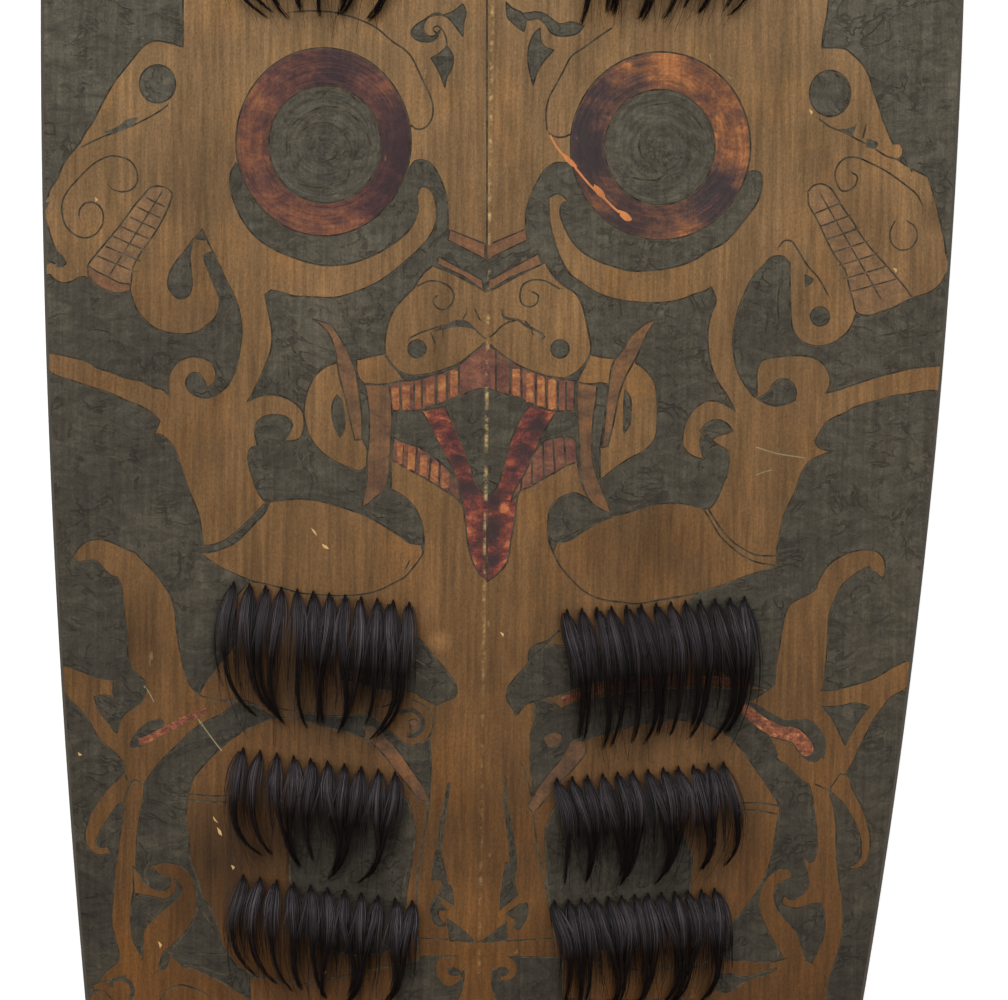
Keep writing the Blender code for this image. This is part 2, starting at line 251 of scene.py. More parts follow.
class Nodes:
    """A small builder for one material's nodes around its Principled shader."""

    def __init__(self, name):
        self.material = bpy.data.materials.new(name)
        self.material.use_nodes = True
        self.tree = self.material.node_tree
        self.shader = self.tree.nodes["Principled BSDF"]
        self.place = self.add("ShaderNodeTexCoord").outputs["Object"]

    def add(self, kind, **settings):
        node = self.tree.nodes.new(kind)
        for key, value in settings.items():
            setattr(node, key, value)
        return node

    def link(self, source, target):
        self.tree.links.new(source, target)

    def set(self, socket, value):
        if isinstance(value, bpy.types.NodeSocket):
            self.link(value, socket)
        else:
            socket.default_value = value

    def set_colour(self, socket, value):
        self.set(socket, (*value, 1) if isinstance(value, tuple) else value)

    def colour(self, value):
        self.set_colour(self.shader.inputs["Base Color"], value)

    def finished(self, roughness, gloss, *bumps):
        """The material, now this rough and glossy, with these bumps: a height, strength and distance each."""
        self.set(self.shader.inputs["Roughness"], roughness)
        self.shader.inputs["Specular IOR Level"].default_value = gloss
        for bump in bumps:
            self.bump(*bump)
        return self.material

    def stretched(self, x, y, z):
        mapping = self.add("ShaderNodeMapping")
        mapping.inputs["Scale"].default_value = (x, y, z)
        self.link(self.place, mapping.inputs["Vector"])
        return mapping.outputs["Vector"]

    def noise_at(self, vector, **inputs):
        node = self.add("ShaderNodeTexNoise", noise_dimensions="4D")
        for key, value in inputs.items():
            node.inputs[key].default_value = value
        self.link(vector, node.inputs["Vector"])
        return node.outputs["Fac"]

    def noise(self, scale, stretch=(1, 1, 1), detail=4.0, roughness=0.6, shift=0.0, distortion=0.0):
        place = self.stretched(*stretch)
        return self.noise_at(
            place, Scale=scale, Detail=detail, Roughness=roughness, W=shift, Distortion=distortion)

    def ramp(self, value, *stops):
        """A grey or coloured ramp: each stop is its place and its value or colour."""
        node = self.add("ShaderNodeValToRGB")
        elements = node.color_ramp.elements
        while len(elements) < len(stops):
            elements.new(0.5)
        for element, (place, level) in zip(elements, stops):
            element.position = place
            element.color = (*level, 1) if isinstance(level, tuple) else (level, level, level, 1)
        self.link(value, node.inputs["Fac"])
        return node.outputs["Color"]

    def mix(self, share, a, b, blend="MIX"):
        node = self.add("ShaderNodeMix", data_type="RGBA", blend_type=blend)
        for socket, value in ((node.inputs["Factor"], share), (node.inputs[6], a), (node.inputs[7], b)):
            self.set_colour(socket, value)
        return node.outputs[2]

    def mottled(self, colour, share, pattern, *stops):
        """The colour made darker and paler by a pattern, as a ramp's stops say."""
        return self.mix(share, colour, self.ramp(pattern, *stops), "MULTIPLY")

    def math(self, operation, a, b=0.0):
        node = self.add("ShaderNodeMath", operation=operation)
        self.set(node.inputs[0], a)
        self.set(node.inputs[1], b)
        return node.outputs[0]

    def axis(self, name):
        split = self.add("ShaderNodeSeparateXYZ")
        self.link(self.place, split.inputs[0])
        return split.outputs[name]

    def span(self, value, low, high, to_low=0.0, to_high=1.0):
        node = self.add("ShaderNodeMapRange")
        self.link(value, node.inputs["Value"])
        for key, number in (("From Min", low), ("From Max", high), ("To Min", to_low), ("To Max", to_high)):
            node.inputs[key].default_value = number
        return node.outputs["Result"]

    def vector(self, operation, a, b=(0, 0, 0)):
        node = self.add("ShaderNodeVectorMath", operation=operation)
        self.set(node.inputs[0], a)
        if isinstance(b, float):
            node.inputs["Scale"].default_value = b
        else:
            self.set(node.inputs[1], b)
        return node.outputs["Value" if operation in ("LENGTH", "DISTANCE") else "Vector"]

    def spots(self, places):
        """Soft spots added up: each is a pixel's column and row, its radius in pixels and its strength."""
        flat = self.vector("MULTIPLY", self.place, (1, 1, 0))
        total = 0.0
        for column, row, radius, strength in places:
            apart = self.vector("DISTANCE", flat, (*on_face(column, row), 0))
            total = self.math("ADD", self.span(apart, 0, radius * PIXEL, strength, 0), total)
        return total

    def shaded(self, colour, places):
        """The colour with soft darker and paler spots in it."""
        return self.mix(1.0, colour, self.math("ADD", self.spots(places), 1.0), "MULTIPLY")

    def strokes(self, column, row, shift):
        """Brush strokes that run round this pixel's place."""
        from_middle = self.vector("SUBTRACT", self.place, (*on_face(column, row), 0))
        flat = self.vector("MULTIPLY", from_middle, (1, 1, 0))
        turned = self.vector("SCALE", self.vector("NORMALIZE", flat), STROKE_TURNS)
        out = self.add("ShaderNodeCombineXYZ")
        self.link(self.math("MULTIPLY", self.vector("LENGTH", flat), STROKES_PER_METRE), out.inputs["Z"])
        place = self.vector("ADD", turned, out.outputs["Vector"])
        return self.noise_at(place, Scale=1.0, Detail=5, W=shift)

    def bump(self, height, strength, distance):
        node = self.add("ShaderNodeBump")
        node.inputs["Strength"].default_value = strength
        node.inputs["Distance"].default_value = distance
        self.link(height, node.inputs["Height"])
        if self.shader.inputs["Normal"].links:
            self.link(self.shader.inputs["Normal"].links[0].from_socket, node.inputs["Normal"])
        self.link(node.outputs["Normal"], self.shader.inputs["Normal"])


# Each shade is a column and row of the photograph, a radius in pixels and a strength.
# Painted shadow: the face is darkened under and round the hair
HAIR_SHADOW_SPOTS = (
    (262, 685, 95, -0.46), (362, 690, 95, -0.46), (605, 690, 95, -0.46), (705, 690, 95, -0.46),
    (270, 828, 80, -0.40), (360, 832, 80, -0.40), (600, 838, 80, -0.40), (695, 838, 80, -0.40),
    (280, 955, 80, -0.40), (372, 960, 80, -0.40), (592, 960, 80, -0.40), (690, 960, 80, -0.40),
    (315, 0, 60, -0.25), (660, 0, 60, -0.25),
)


def aged_and_shaded(made, colour, foot_tint_and_shade, wear=0.35, grain=0.5, worn_to=(0.24, 0.15, 0.075)):
    """Ages one painted colour and gives its two fine bumps.

    It gets darker and warmer towards the foot, the darkening partly painted shade as the light falls off,
    grained, darkened by painted shadow under and round the hair, chipped, and rubbed along the ridge.
    """
    # Darker and warmer towards the foot, the darkening partly painted shade as the light falls off
    towards_foot = made.span(made.axis("Y"), 0.20, -0.32)
    tinted = made.mix(1.0, colour, made.mix(towards_foot, (1.0, 1.0, 1.0), foot_tint_and_shade), "MULTIPLY")
    fibres = made.noise(420, (1, 0.05, 1), 6, 0.7, 3.1)
    tinted = made.mottled(tinted, grain, fibres, (0.32, 0.30), (0.68, 1.60))
    blotches = made.noise(15, (1, 0.6, 1), 6, 0.65, 7.7)
    tinted = made.mottled(tinted, 0.7, blotches, (0.32, 0.58), (0.68, 1.38))
    fine = made.noise(1000, (1, 0.7, 1), 4, 0.75, 1.3)
    tinted = made.mottled(tinted, 0.6, fine, (0.28, 0.40), (0.72, 1.55))
    from_ridge = made.math("ABSOLUTE", made.axis("X"))
    patchy = made.ramp(made.noise(170, (0.6, 0.8, 1), 5, 0.75, 5.0), (0.49, 0.0), (0.64, 1.0))
    rubbed = made.math("MULTIPLY", made.span(from_ridge, 0.0013, 0.0002), patchy)
    rubbed = made.math("MULTIPLY", rubbed, made.span(made.axis("Y"), -0.17, -0.10, 0.25, 0.70))
    tinted = made.mix(rubbed, tinted, RUBBED_COLOUR)
    chips = made.ramp(made.noise(260, (1, 0.4, 1), 3, 0.5, 9.4), (0.71, 0.0), (0.75, 1.0))
    tinted = made.mix(made.math("MULTIPLY", chips, wear), tinted, worn_to)
    # Painted shadow of the hair rows, laid over every paint
    made.colour(made.shaded(tinted, HAIR_SHADOW_SPOTS))
    return (fibres, 0.4, 0.0006), (fine, 0.35, 0.0003)


# Where the ochre is darker or brighter than elsewhere
OCHRE_SHADES = (
    (215, 860, 80, -0.60), (300, 840, 90, -0.30), (150, 640, 60, -0.35), (650, 550, 90, -0.50),
    (620, 850, 90, -0.25), (480, 830, 90, -0.30), (790, 130, 90, -0.16), (110, 150, 70, -0.10),
    (455, 150, 100, 0.14), (330, 545, 95, 0.22), (440, 641, 14, 0.90), (938, 215, 22, -0.45),
)


def ochre_material():
    made = Nodes("ochre_paint")
    streaks = made.noise(75, (1, 0.07, 1), 6, 0.65, 2.2)
    base = made.ramp(streaks, *zip((0.28, 0.5, 0.72), OCHRES))
    warm = made.ramp(made.noise(28, (1, 0.7, 1), 5, 0.6, 8.8), (0.52, 0.0), (0.70, 1.0))
    base = made.mix(made.math("MULTIPLY", warm, 0.5), base, WARM_OCHRE)
    bumps = aged_and_shaded(made, made.shaded(base, OCHRE_SHADES), (0.51, 0.36, 0.19))
    roughness = made.span(made.noise(40, (1, 0.3, 1), 4, 0.6, 4.0), 0.3, 0.7, 0.55, 0.75)
    return made.finished(roughness, 0.12, *bumps)


def dark_colour(made, shift):
    """The dark paint's colour and height: brushed on thick, with thin curling strokes left in it."""
    brushed = made.noise(120, (0.45, 1, 1), 6, 0.7, 6.2 + shift, 1.6)
    curls = made.noise(34, (0.8, 1, 1), 3, 0.6, 1.7 + shift, 2.4)
    strokes = made.ramp(curls, (0.472, 1.0), (0.492, 0.45), (0.508, 0.45), (0.528, 1.0))
    broken = made.ramp(made.noise(70, (1, 1, 1), 3, 0.6, 4.4 + shift), (0.44, 0.0), (0.60, 1.0))
    brushed = made.math("MULTIPLY", brushed, made.mix(broken, (1.0, 1.0, 1.0), strokes))
    return made.ramp(brushed, *zip((0.30, 0.5, 0.70), CHARCOALS)), brushed


# Where the dark paint is darker or paler than elsewhere
DARK_SHADES = (
    (95, 900, 75, -0.42), (860, 960, 60, -0.30), (350, 880, 90, -0.30), (640, 880, 90, -0.30),
    (510, 1000, 60, -0.25), (110, 130, 90, 0.10), (90, 480, 70, -0.12), (330, 250, 70, 0.14),
    (640, 250, 70, 0.10), (900, 560, 60, 0.12),
)


def dark_material():
    made = Nodes("charcoal_paint")
    base, brushed = dark_colour(made, 0.0)
    bumps = aged_and_shaded(made, made.shaded(base, DARK_SHADES), (0.58, 0.53, 0.48), 0.3, 0.4, WORN_CHARCOAL)
    roughness = made.span(made.noise(60, (1, 0.5, 1), 4, 0.6, 2.0), 0.3, 0.7, 0.5, 0.68)
    return made.finished(roughness, 0.14, *bumps, (brushed, 0.9, 0.0016))


def pupil_material(name, column, row):
    made = Nodes(name)
    base, _ = dark_colour(made, 3.0)
    swirls = made.strokes(column, row, 2.0)
    # The swirls' light and dark are partly painted light and shade on the brush strokes' relief
    base = made.mottled(base, 0.5, swirls, (0.34, 0.50), (0.66, 1.55))
    bumps = aged_and_shaded(made, base, (0.66, 0.62, 0.60), 0.2, 0.3, WORN_CHARCOAL)
    return made.finished(0.55, 0.14, *bumps, (swirls, 0.7, 0.0018))


def red_material(name, scale, shift, colours, spots=(), centre=None):
    """A red glaze from dark purple through red to orange, with its brighter and darker spots.

    Where it has a centre, its brush strokes run round that.
    """
    made = Nodes(name)
    level = made.noise(scale, (0.55, 1, 1), 6, 0.75, shift, 0.6)
    if centre:
        swirls = made.strokes(*centre, shift)
        # The swirls' light and dark are partly painted light and shade on the brush strokes' relief
        level = made.math("ADD", made.math("MULTIPLY", level, 0.75), made.math("MULTIPLY", swirls, 0.25))
        made.bump(swirls, 0.7, 0.0016)
    if spots:
        level = made.math("ADD", level, made.spots(spots))
    base = made.ramp(level, *zip(GLAZE_LEVELS, colours))
    bumps = aged_and_shaded(made, base, (0.70, 0.62, 0.58), 0.25, 0.3, (0.36, 0.17, 0.07))
    return made.finished(0.5, 0.2, *bumps, (level, 0.8, 0.0012))


def plain_material(name, colour, roughness, gloss, scale=400):
    made = Nodes(name)
    patches = made.noise(scale, (1, 0.4, 1), 5, 0.65, 1.0)
    low, high = tuple(0.72 * c for c in colour), tuple(1.3 * c for c in colour)
    made.colour(made.ramp(patches, (0.3, low), (0.7, high)))
    return made.finished(roughness, gloss, (patches, 0.3, 0.0004))


def back_material():
    made = Nodes("bare_back_wood")
    fibres = made.noise(240, (1, 0.04, 1), 6, 0.65, 3.0)
    base = made.ramp(fibres, *zip((0.25, 0.55, 0.8), BACK_BROWNS))
    smoke = made.noise(9, (1, 0.6, 1), 5, 0.6, 4.0)
    made.colour(made.mottled(base, 0.75, smoke, (0.30, 0.50), (0.72, 1.15)))
    return made.finished(0.68, 0.3, (fibres, 0.4, 0.0006))


def edge_material():
    # The board's sides are coloured much darker than its back
    made = Nodes("dark_edge_wood")
    fibres = made.noise(300, (1, 0.06, 1), 6, 0.65, 5.0)
    made.colour(made.ramp(fibres, *zip((0.25, 0.6, 0.85), EDGE_BROWNS)))
    return made.finished(0.7, 0.3, (fibres, 0.5, 0.0006))


def line_material():
    made = Nodes("dark_incision")
    patches = made.noise(170, (1, 1, 1), 5, 0.7, 1.0)
    made.colour(made.ramp(patches, *zip((0.36, 0.64), LINE_BROWNS)))
    return made.finished(0.8, 0.08)


def hair_material():
    made = Nodes("hair_strands")
    down = made.add("ShaderNodeAttribute", attribute_name="down").outputs["Fac"]
    painted_sheen = made.add("ShaderNodeAttribute", attribute_name="painted_sheen").outputs["Fac"]
    # The sheen on the hair's upper part and its lighter and darker hairs are painted into the colour
    sheen = made.ramp(down, *HAIR_COLOURS_AND_SHEEN)
    made.colour(made.mottled(sheen, 1.0, painted_sheen, (0.0, 0.16), (0.5, 0.75), (1.0, 2.1)))
    return made.finished(0.5, 0.07)


def rattan_material():
    made = Nodes("rattan")
    fibres = made.noise(1500, (0.05, 1, 1), 5, 0.6, 1.5)
    base = made.ramp(fibres, *zip((0.25, 0.6, 0.85), RATTANS))
    dirt = made.noise(60, (1, 1, 1), 4, 0.6, 2.5)
    made.colour(made.mottled(base, 0.7, dirt, (0.30, 0.45), (0.65, 1.1)))
    return made.finished(0.45, 0.4, (fibres, 0.4, 0.0002))


# The painted and incised design, read from the photograph. Each outline lists columns and rows of the
# photograph, and a point with a bar after it is a corner

BROW_LEFT = """183,-330| 183,-100 183,47| 176,45 165,42 155,41 147,44 140,50 132,60 124,70 116,80 108,93
100,108 93,122 86,132 80,143| 70,155 63,165 58,178 50,190 47,205 48,225 52,240 56,250 60,256| 66,262 63,267
57,265| 50,262 48,270 53,278 63,283 73,281 80,277 88,278 98,287 110,292 120,294 130,290| 133,300 137,310
145,320 155,328 170,333 185,334 197,332 207,325 215,318 219,308 219,298 214,285 208,270 203,256| 211,252|
220,266 226,280 233,293 238,306 241,320 242,333 240,350 237,365 234,374 228,385 222,391 213,397 205,398
196,396 189,391 186,385 187,378 192,373 199,374 204,380 207,388| 214,383 216,375 212,364 202,358 190,357
177,363 170,374 168,385 170,397| 163,390 155,388 140,381 125,378 110,372 97,368 85,361 65,356 47,352 20,348|
20,372| 47,371 57,376 70,380 85,385 97,389 110,393 125,400 140,406 152,413 160,421| 155,433| 163,436 172,445
178,457 182,470 186,482 190,493 196,507 200,520 202,535 203,546 199,546| 212,545 225,540 236,532 247,522
257,512 266,502| 259,494 254,482 250,470 248,458 250,449 257,446| 256,440 255,430 258,421 266,416 276,415
286,417 292,423 290,432 284,441| 292,441 300,438 304,428 303,413 297,405 286,398 273,395 257,397 247,402|
252,395 255,388 260,378 265,366 270,353 272,340 271,325 268,310 265,295| 380,300| 487,300| 487,-885|
455,-860| 330,-700 215,-520"""
MASK_LEFT = """236,163| 231,172 230,185 234,202 243,221 257,238 275,250 297,259 320,265 342,265 362,260
382,251 400,239 412,226 418,210 417,196| 421,187 428,188 434,196 437,210 436,222 430,236 420,248 408,259
395,270 378,282 358,291 338,297 318,298 297,297 283,293 271,290| 265,295| 268,310 271,325 272,340 270,353
265,366 260,378 255,388 252,395 248,402| 257,397 273,395 286,398 297,405 303,413 304,428 300,438 292,441
284,441| 290,432 292,423 286,417 276,415 266,416 258,421 255,430 256,440 258,446| 250,449 248,458 250,470
254,482 259,494 266,503| 280,501 299,499 318,501 337,506 358,513 379,523 398,535 410,543 421,545| 487,480|
487,255| 448,230| 448,215 447,200 443,185 437,172 430,163 422,160 415,161 411,166 409,172| 330,150"""
BAND_LINE_LEFT = "423,172 430,185 435,200 437,215 436,230"
# A disc is its column, row, half width and half height in pixels
EYE_RINGS = {"left": (323.5, 142, 87.5, 94), "right": (660.5, 146, 90, 94)}
PUPILS = {"left": (325, 144.5, 56, 58.5), "right": (659.8, 147.3, 55, 57.6)}
PUPIL_LINES_LEFT = (
    "287,155 287,140 293,125 305,115 320,108 340,108 355,118 365,130 371,145",
    "298,138 305,129 315,124 330,124 343,133 350,145 352,160 347,180",
    "322,97 330,90 345,92 360,103",
    "300,185 320,188 340,182",
    "322,141 330,143 338,147 335,157 325,162",
)
PUPIL_LINES_RIGHT = (
    "641,137 639,147 643,158 650,167 657,172",
    "633,178 645,180 658,180 665,176 669,170",
    "655,105 668,104 680,107 690,113 698,122",
    "645,155 652,152 655,158 652,162",
)
CONTOUR_LEFT = """293,12 310,11 330,12 345,15 360,20 375,27 393,42 405,50 412,58 418,70 424,83 430,95
433,107 432,118 428,125 422,129 416,129 411,125"""
CONTOUR_RIGHT = "547,130 546,113 549,98 557,83 563,72 571,57 585,47 600,36 612,28"
SNOUT_DISCS = {"left": (157.5, 84, 18, 19), "right": (830, 93.5, 20.5, 23)}
LID_LEFT = "168,105 160,111 150,117 140,122 130,127 120,131 105,136 90,143 82,147"
LID_WEDGE_LEFT = "100,133| 110,130 118,126 128,119 140,117| 130,127 118,132"
LID_RIGHT = "819,119 830,127 843,132 858,140 872,147 886,156 898,160 905,165 918,172 928,177"
LID_WEDGE_RIGHT = "840,129| 850,128 855,125 858,119| 855,130 852,135|"
SNOUT_LINE_LEFT = """113,190 122,192 131,190 137,183 137,172 130,161 112,156 100,160 90,167 80,177 70,188
63,200 62,213 66,226 75,235 86,238 97,233 103,222 102,210 95,203 86,203 80,209 79,216"""
SNOUT_LINE_RIGHT = """852,173 857,176 856,184 850,190 842,191 837,184 835,174 838,165 846,158 858,158
870,163 884,170 896,178 908,187 917,195 923,206"""
SNOUT_SPIRAL_RIGHT = "895,221 890,232 892,244 900,250 911,248 917,238 915,227 907,221"
FANGS_LEFT = """158,186| 150,188 143,196 135,205 127,216 118,228 108,240 98,252 90,262 87,267| 95,272
107,278 120,283 131,284| 133,268 140,254 150,240 158,228 165,215 170,203 172,193 166,188"""
LIPS_LEFT = "88,266| 96,271 108,277 120,283 130,284| 130,290 118,293 106,290 96,284 88,275|"
NOSE_CURL_LEFT = "56,252 61,256 64,261 62,266 56,265"
FANGS_RIGHT = """808,192| 813,186 822,184 830,188 836,196 843,208 853,222 862,237 872,250 884,263 897,278
907,290| 912,298| 890,309 880,312 872,315 862,315 856,312 853,300 849,286| 845,270 835,256 828,243 821,228
815,216 809,205"""
TEARDROP_LEFT = "194,238| 184,252 175,263 169,275 168,286 173,295 181,299 189,295 192,285 191,270 190,256"
LOBE_WEDGE_LEFT = "202,229| 196,239| 207,240|"
LOBE_LINE_LEFT = "207,240 212,250 216,257"
SCROLL_LEAF_LEFT = "447,46| 453,56 452,68 447,77 445,88| 439,72 431,58| 440,53"
SCROLL_LINE_LEFT = "447,45 446,38 443,31 437,26 433,29 436,33"
SCROLL_HOOK_LEFT = """424,20 415,26 411,33 415,39 424,42 433,41 438,36 440,30| 438,33 434,36 428,36 424,31
424,24 428,18 436,15 446,16| 436,13"""
SCROLL_TIP_LEFT = "463,4| 466,12 464,22 463,37| 456,27 449,19 443,15| 452,12"
SCROLL_LEAF_RIGHT = "540,28| 534,34 529,46 528,62 533,86| 537,73 545,60 554,50| 545,47 541,40"
SCROLL_HOOK_RIGHT = """520,14 528,13 536,12 545,14 553,20 560,24 572,22 584,26| 578,33 568,36 558,36 550,32
546,25 538,19 528,20"""
SCROLL_TIP_RIGHT = "506,2| 512,8 522,13 526,22 524,32| 516,26 508,18"
RED_CHEVRON_LEFT = "450,230| 485,244| 485,259| 448,240|"
RED_CHEVRON_LOW_LEFT = "439,257| 482,280| 484,291| 463,276| 437,264|"
RED_CHEVRON_RIGHT = "526,229| 488,245| 488,259| 527,240|"
RED_CHEVRON_LOW_RIGHT = "538,254| 490,280| 488,291| 511,277| 542,265|"
NOSE_LEFT = """487,293| 470,283 455,275 441,269 433,266| 425,272 418,281| 414,288| 405,297 397,306 391,316
387,328 385,342 386,355 391,363 398,370 408,375 420,375 433,373 445,369 458,364 470,355 480,347 487,341|"""
NOSE_SCROLL_LEFT = "418,286 430,281 445,284 452,290 454,298 450,306 443,310 436,307 433,300 437,296"
NOSE_LIP_LEFT = "410,338 420,333 432,329 445,325 455,323 465,324 475,330 483,337 487,340"
NOSE_SHADOW_LEFT = "431,332| 445,325 456,320 467,321 478,331| 468,328 455,327 442,330|"
NOSE_FOLD_RIGHT = "502,309 504,317 510,319 518,320 525,325 533,329 541,333 544,337 540,341"
NOSE_TICKS_LEFT = ("463,319 467,312", "475,310 480,320", "431,333 435,343", "443,330 443,337")
NOSE_RIGHT = """487,293| 500,286 518,276 534,268 545,263| 555,278 564,286 575,293 582,305 586,320 589,335
591,348 590,355| 583,366 575,373 565,378 553,377 540,375 528,370 516,364 504,356 495,349 487,341|"""
NOSE_SCROLL_RIGHT = """560,289 553,285 545,281 533,280 523,285 520,295 522,304 530,307 537,303 538,295
532,292"""
NOSE_LIP_RIGHT = "488,339 495,333 502,326 510,322 520,321 528,327"
NOSE_TICKS_RIGHT = ("525,321 531,328 533,335",)
NOSTRILS = {"left": (417, 349, 9, 9), "right": (560, 349, 9, 9)}
MOUSTACHE_LEFT = "357,360| 370,357 384,354| 390,363 398,372 404,380| 385,384 370,384 362,382 357,372"
MOUSTACHE_RIGHT = "591,355| 600,357 614,359| 612,370 609,384| 600,383 590,384 577,382| 583,370"
CHEEK_LEFT = """357,382| 360,400 362,420 362,440| 367,449 367,466| 360,471 350,468 340,464 328,457 318,448
310,437 306,425 304,412 306,397 311,383 318,373 326,367 336,363|"""
CHEEK_RIGHT = """609,384| 622,366 634,362| 645,370 654,382 657,400 657,420 655,438 645,450 630,458 615,468
603,478 600,480| 600,448|"""
CHEEK_LENS_LEFT = "337,395| 342,402 344,415 344,430 340,437| 335,428 332,415 333,402"
CHEEK_LENS_RIGHT = "625,390| 630,397 631,411 629,426 624,433| 624,418 624,404"
TUSK_UP_LEFT = """312,319| 322,322 330,325 337,333 343,343 348,352 352,362 356,372 358,385 360,400 362,420
362,440| 355,440| 350,420 347,405 343,390 339,375 337,362 335,350 330,336 322,326"""
TUSK_UP_RIGHT = """657,320| 651,321 640,328 630,338 623,350 615,360 611,370 609,385 607,400 605,420 603,440
601,448| 608,446| 612,430 616,410 620,392 626,376 635,360 642,345 648,332"""
TUSK_DOWN_LEFT = """365,385| 389,385| 391,400 392,420 391,440 390,460 388,480 384,490 376,497 368,504
362,507| 364,495 367,480 367,460 369,440 369,410"""
TUSK_DOWN_RIGHT = """578,383| 597,385| 596,400 593,420 592,440 592,455 594,468 598,480 603,492 607,502
611,514| 602,510 594,505 588,498 583,485 580,470 580,455 579,440 578,420 577,400"""
GUMS_LEFT = """389,385| 400,382 415,380 430,376 445,372 460,364 475,352 487,343| 487,388| 475,390 460,396
445,402 430,407 415,411 391,411|"""
GUMS_RIGHT = """487,343| 495,350 504,357 520,366 540,374 558,379 575,381| 574,411| 557,411 548,410 535,405
523,400 513,396 504,394 487,388|"""
TEETH_CUTS_LEFT = (
    "400,382 400,411", "414,380 414,411", "422,379 422,409", "436,375 436,405", "447,371 447,401",
    "459,365 459,396",
)
TEETH_CUTS_RIGHT = (
    "496,351 496,391", "510,360 510,395", "521,366 522,399", "536,372 536,405", "545,375 547,409",
    "558,379 558,410", "566,380 566,411",
)
TEETH_BRIGHT = (
    "395,388 396,409", "406,385 406,409", "417,383 417,408", "430,379 430,403", "442,376 442,400",
    "454,371 454,395", "516,369 516,396", "530,374 530,402", "541,377 541,406", "552,380 552,408",
    "401,444 401,464", "412,448 411,470", "424,455 423,475", "435,464 434,481", "446,473 445,487",
)
LOWER_GUMS_LEFT = """394,438| 405,443 418,447 430,455 440,462 450,472 458,485 460,502| 452,495 440,488
428,480 415,473 403,466 391,460|"""
LOWER_GUMS_RIGHT = """576,442| 572,438 563,437 555,438 545,441 536,450 530,462 524,475 514,492 511,503|
520,491 530,487 545,478 556,472 566,466 577,462|"""
LOWER_CUTS_LEFT = (
    "404,443 403,466", "417,447 415,473", "431,456 429,480", "440,463 439,487", "450,473 449,493",
)
LOWER_CUTS_RIGHT = (
    "564,438 566,466", "553,440 555,472", "543,443 544,477", "532,458 532,486", "522,476 521,490",
)
TONGUE_LEFT = """422,411| 430,425 437,440 445,455 453,470 458,485 462,500 465,520 468,545 472,560 478,572
487,582| 487,497| 480,490 474,478 469,462 463,447 457,432 450,418 445,407|"""
TONGUE_RIGHT = """556,412| 548,425 540,440 534,455 528,470 522,485 517,500 515,520 511,540 508,560 499,573
487,582| 487,497| 497,487 504,465 508,450 512,438 518,424 525,412 531,405|"""
CHIN = """391,460| 403,466 415,473 428,480 440,488 452,495 462,505| 487,530| 511,503| 520,491 530,487
545,478 556,472 566,466 577,462| 580,475 583,488 590,500| 575,493 562,497 552,505 548,520 549,538 553,552
560,566 570,578 580,588 592,596 605,600 620,602 650,602 690,595 696,594| 688,604 686,625 692,650 706,668|
768,690| 745,690 720,688 690,688 660,689 630,692 600,697 580,703 562,708| 543,700 526,705 517,715| 512,704
508,697 508,688 515,678 525,667 534,657 545,646| 560,630 549,640| 530,650 535,700 530,760| 533,790 536,837
541,863 546,889 551,917 555,941| 487,941| 416,941| 416,905 419,865 424,835 430,790 431,757| 428,725 425,715|
405,706 380,712 340,716 300,712 262,706 240,700| 215,700 200,695 215,670 240,640| 236,600 250,581| 265,584
285,589 300,593 320,595 345,596 365,594 380,590 392,584 405,577 412,569 419,560 423,553 424,540| 422,524
415,508 403,496 391,489|"""
JAW_LEAF_LEFT = """200,553| 212,552 222,549 235,543 246,533 255,523 264,514 270,502| 299,499 318,501 337,506
358,513 379,523 398,535 410,543 421,545| 423,553 419,560 412,569 405,577 392,584 380,590 365,594 345,596
320,595 300,593 285,589 265,584 252,581 235,574 220,567 208,559"""
JAW_LINE_LEFT = "199,546 212,545 225,540 236,532 247,522 257,512 266,502"
CHIN_LEAF_LEFT = "391,489 403,496 415,508 422,524 424,540 423,553"
BROW_RIGHT = """829,-330| 829,-100 828,5 826,20 823,35 822,48| 838,48 845,49 853,55 862,64 869,76 873,90
878,104 883,120 889,135 893,144| 900,144 903,150 902,156 898,159| 905,165 918,172 928,177| 935,200 941,225
945,245 946,262 943,280 932,291 912,298| 893,308 880,313 866,316 856,313| 853,322 848,331 843,336 835,342
822,346 810,345 800,340 793,330 791,315 790,300 790,275 790,264| 784,257 776,256 769,259 763,266 757,272
750,282 744,295 738,310 735,325 733,340 734,355 737,370 743,382 752,395 757,399| 757,385 757,372 762,361
772,358 790,356 805,356 818,360 826,368 830,378 829,388 826,393| 835,391 850,386 868,380 893,373 915,368
943,366 960,364| 960,391| 925,391 908,394 893,396 880,400 868,403 853,408 845,413 835,417 826,423 820,432
815,441| 818,447 825,450 833,451| 825,454 815,458 808,463 802,472 798,482 795,492 790,502 784,515 780,532
777,550 777,562| 777,567| 756,573 738,579 720,586 705,591 690,595| 670,560| 703,509| 710,508 718,497 722,487
727,475 729,462 728,452 720,446| 712,440 733,431| 728,425 720,420 712,422 703,428| 700,445 704,460| 695,457
688,453 683,445 683,435 685,425 690,415 697,407 705,402 715,401 726,405 735,411| 728,397 718,382 711,365
708,345 708,330 711,315 716,300 711,287| 700,300 650,308 600,302| 487,300| 487,-885| 520,-860| 660,-700
795,-520"""
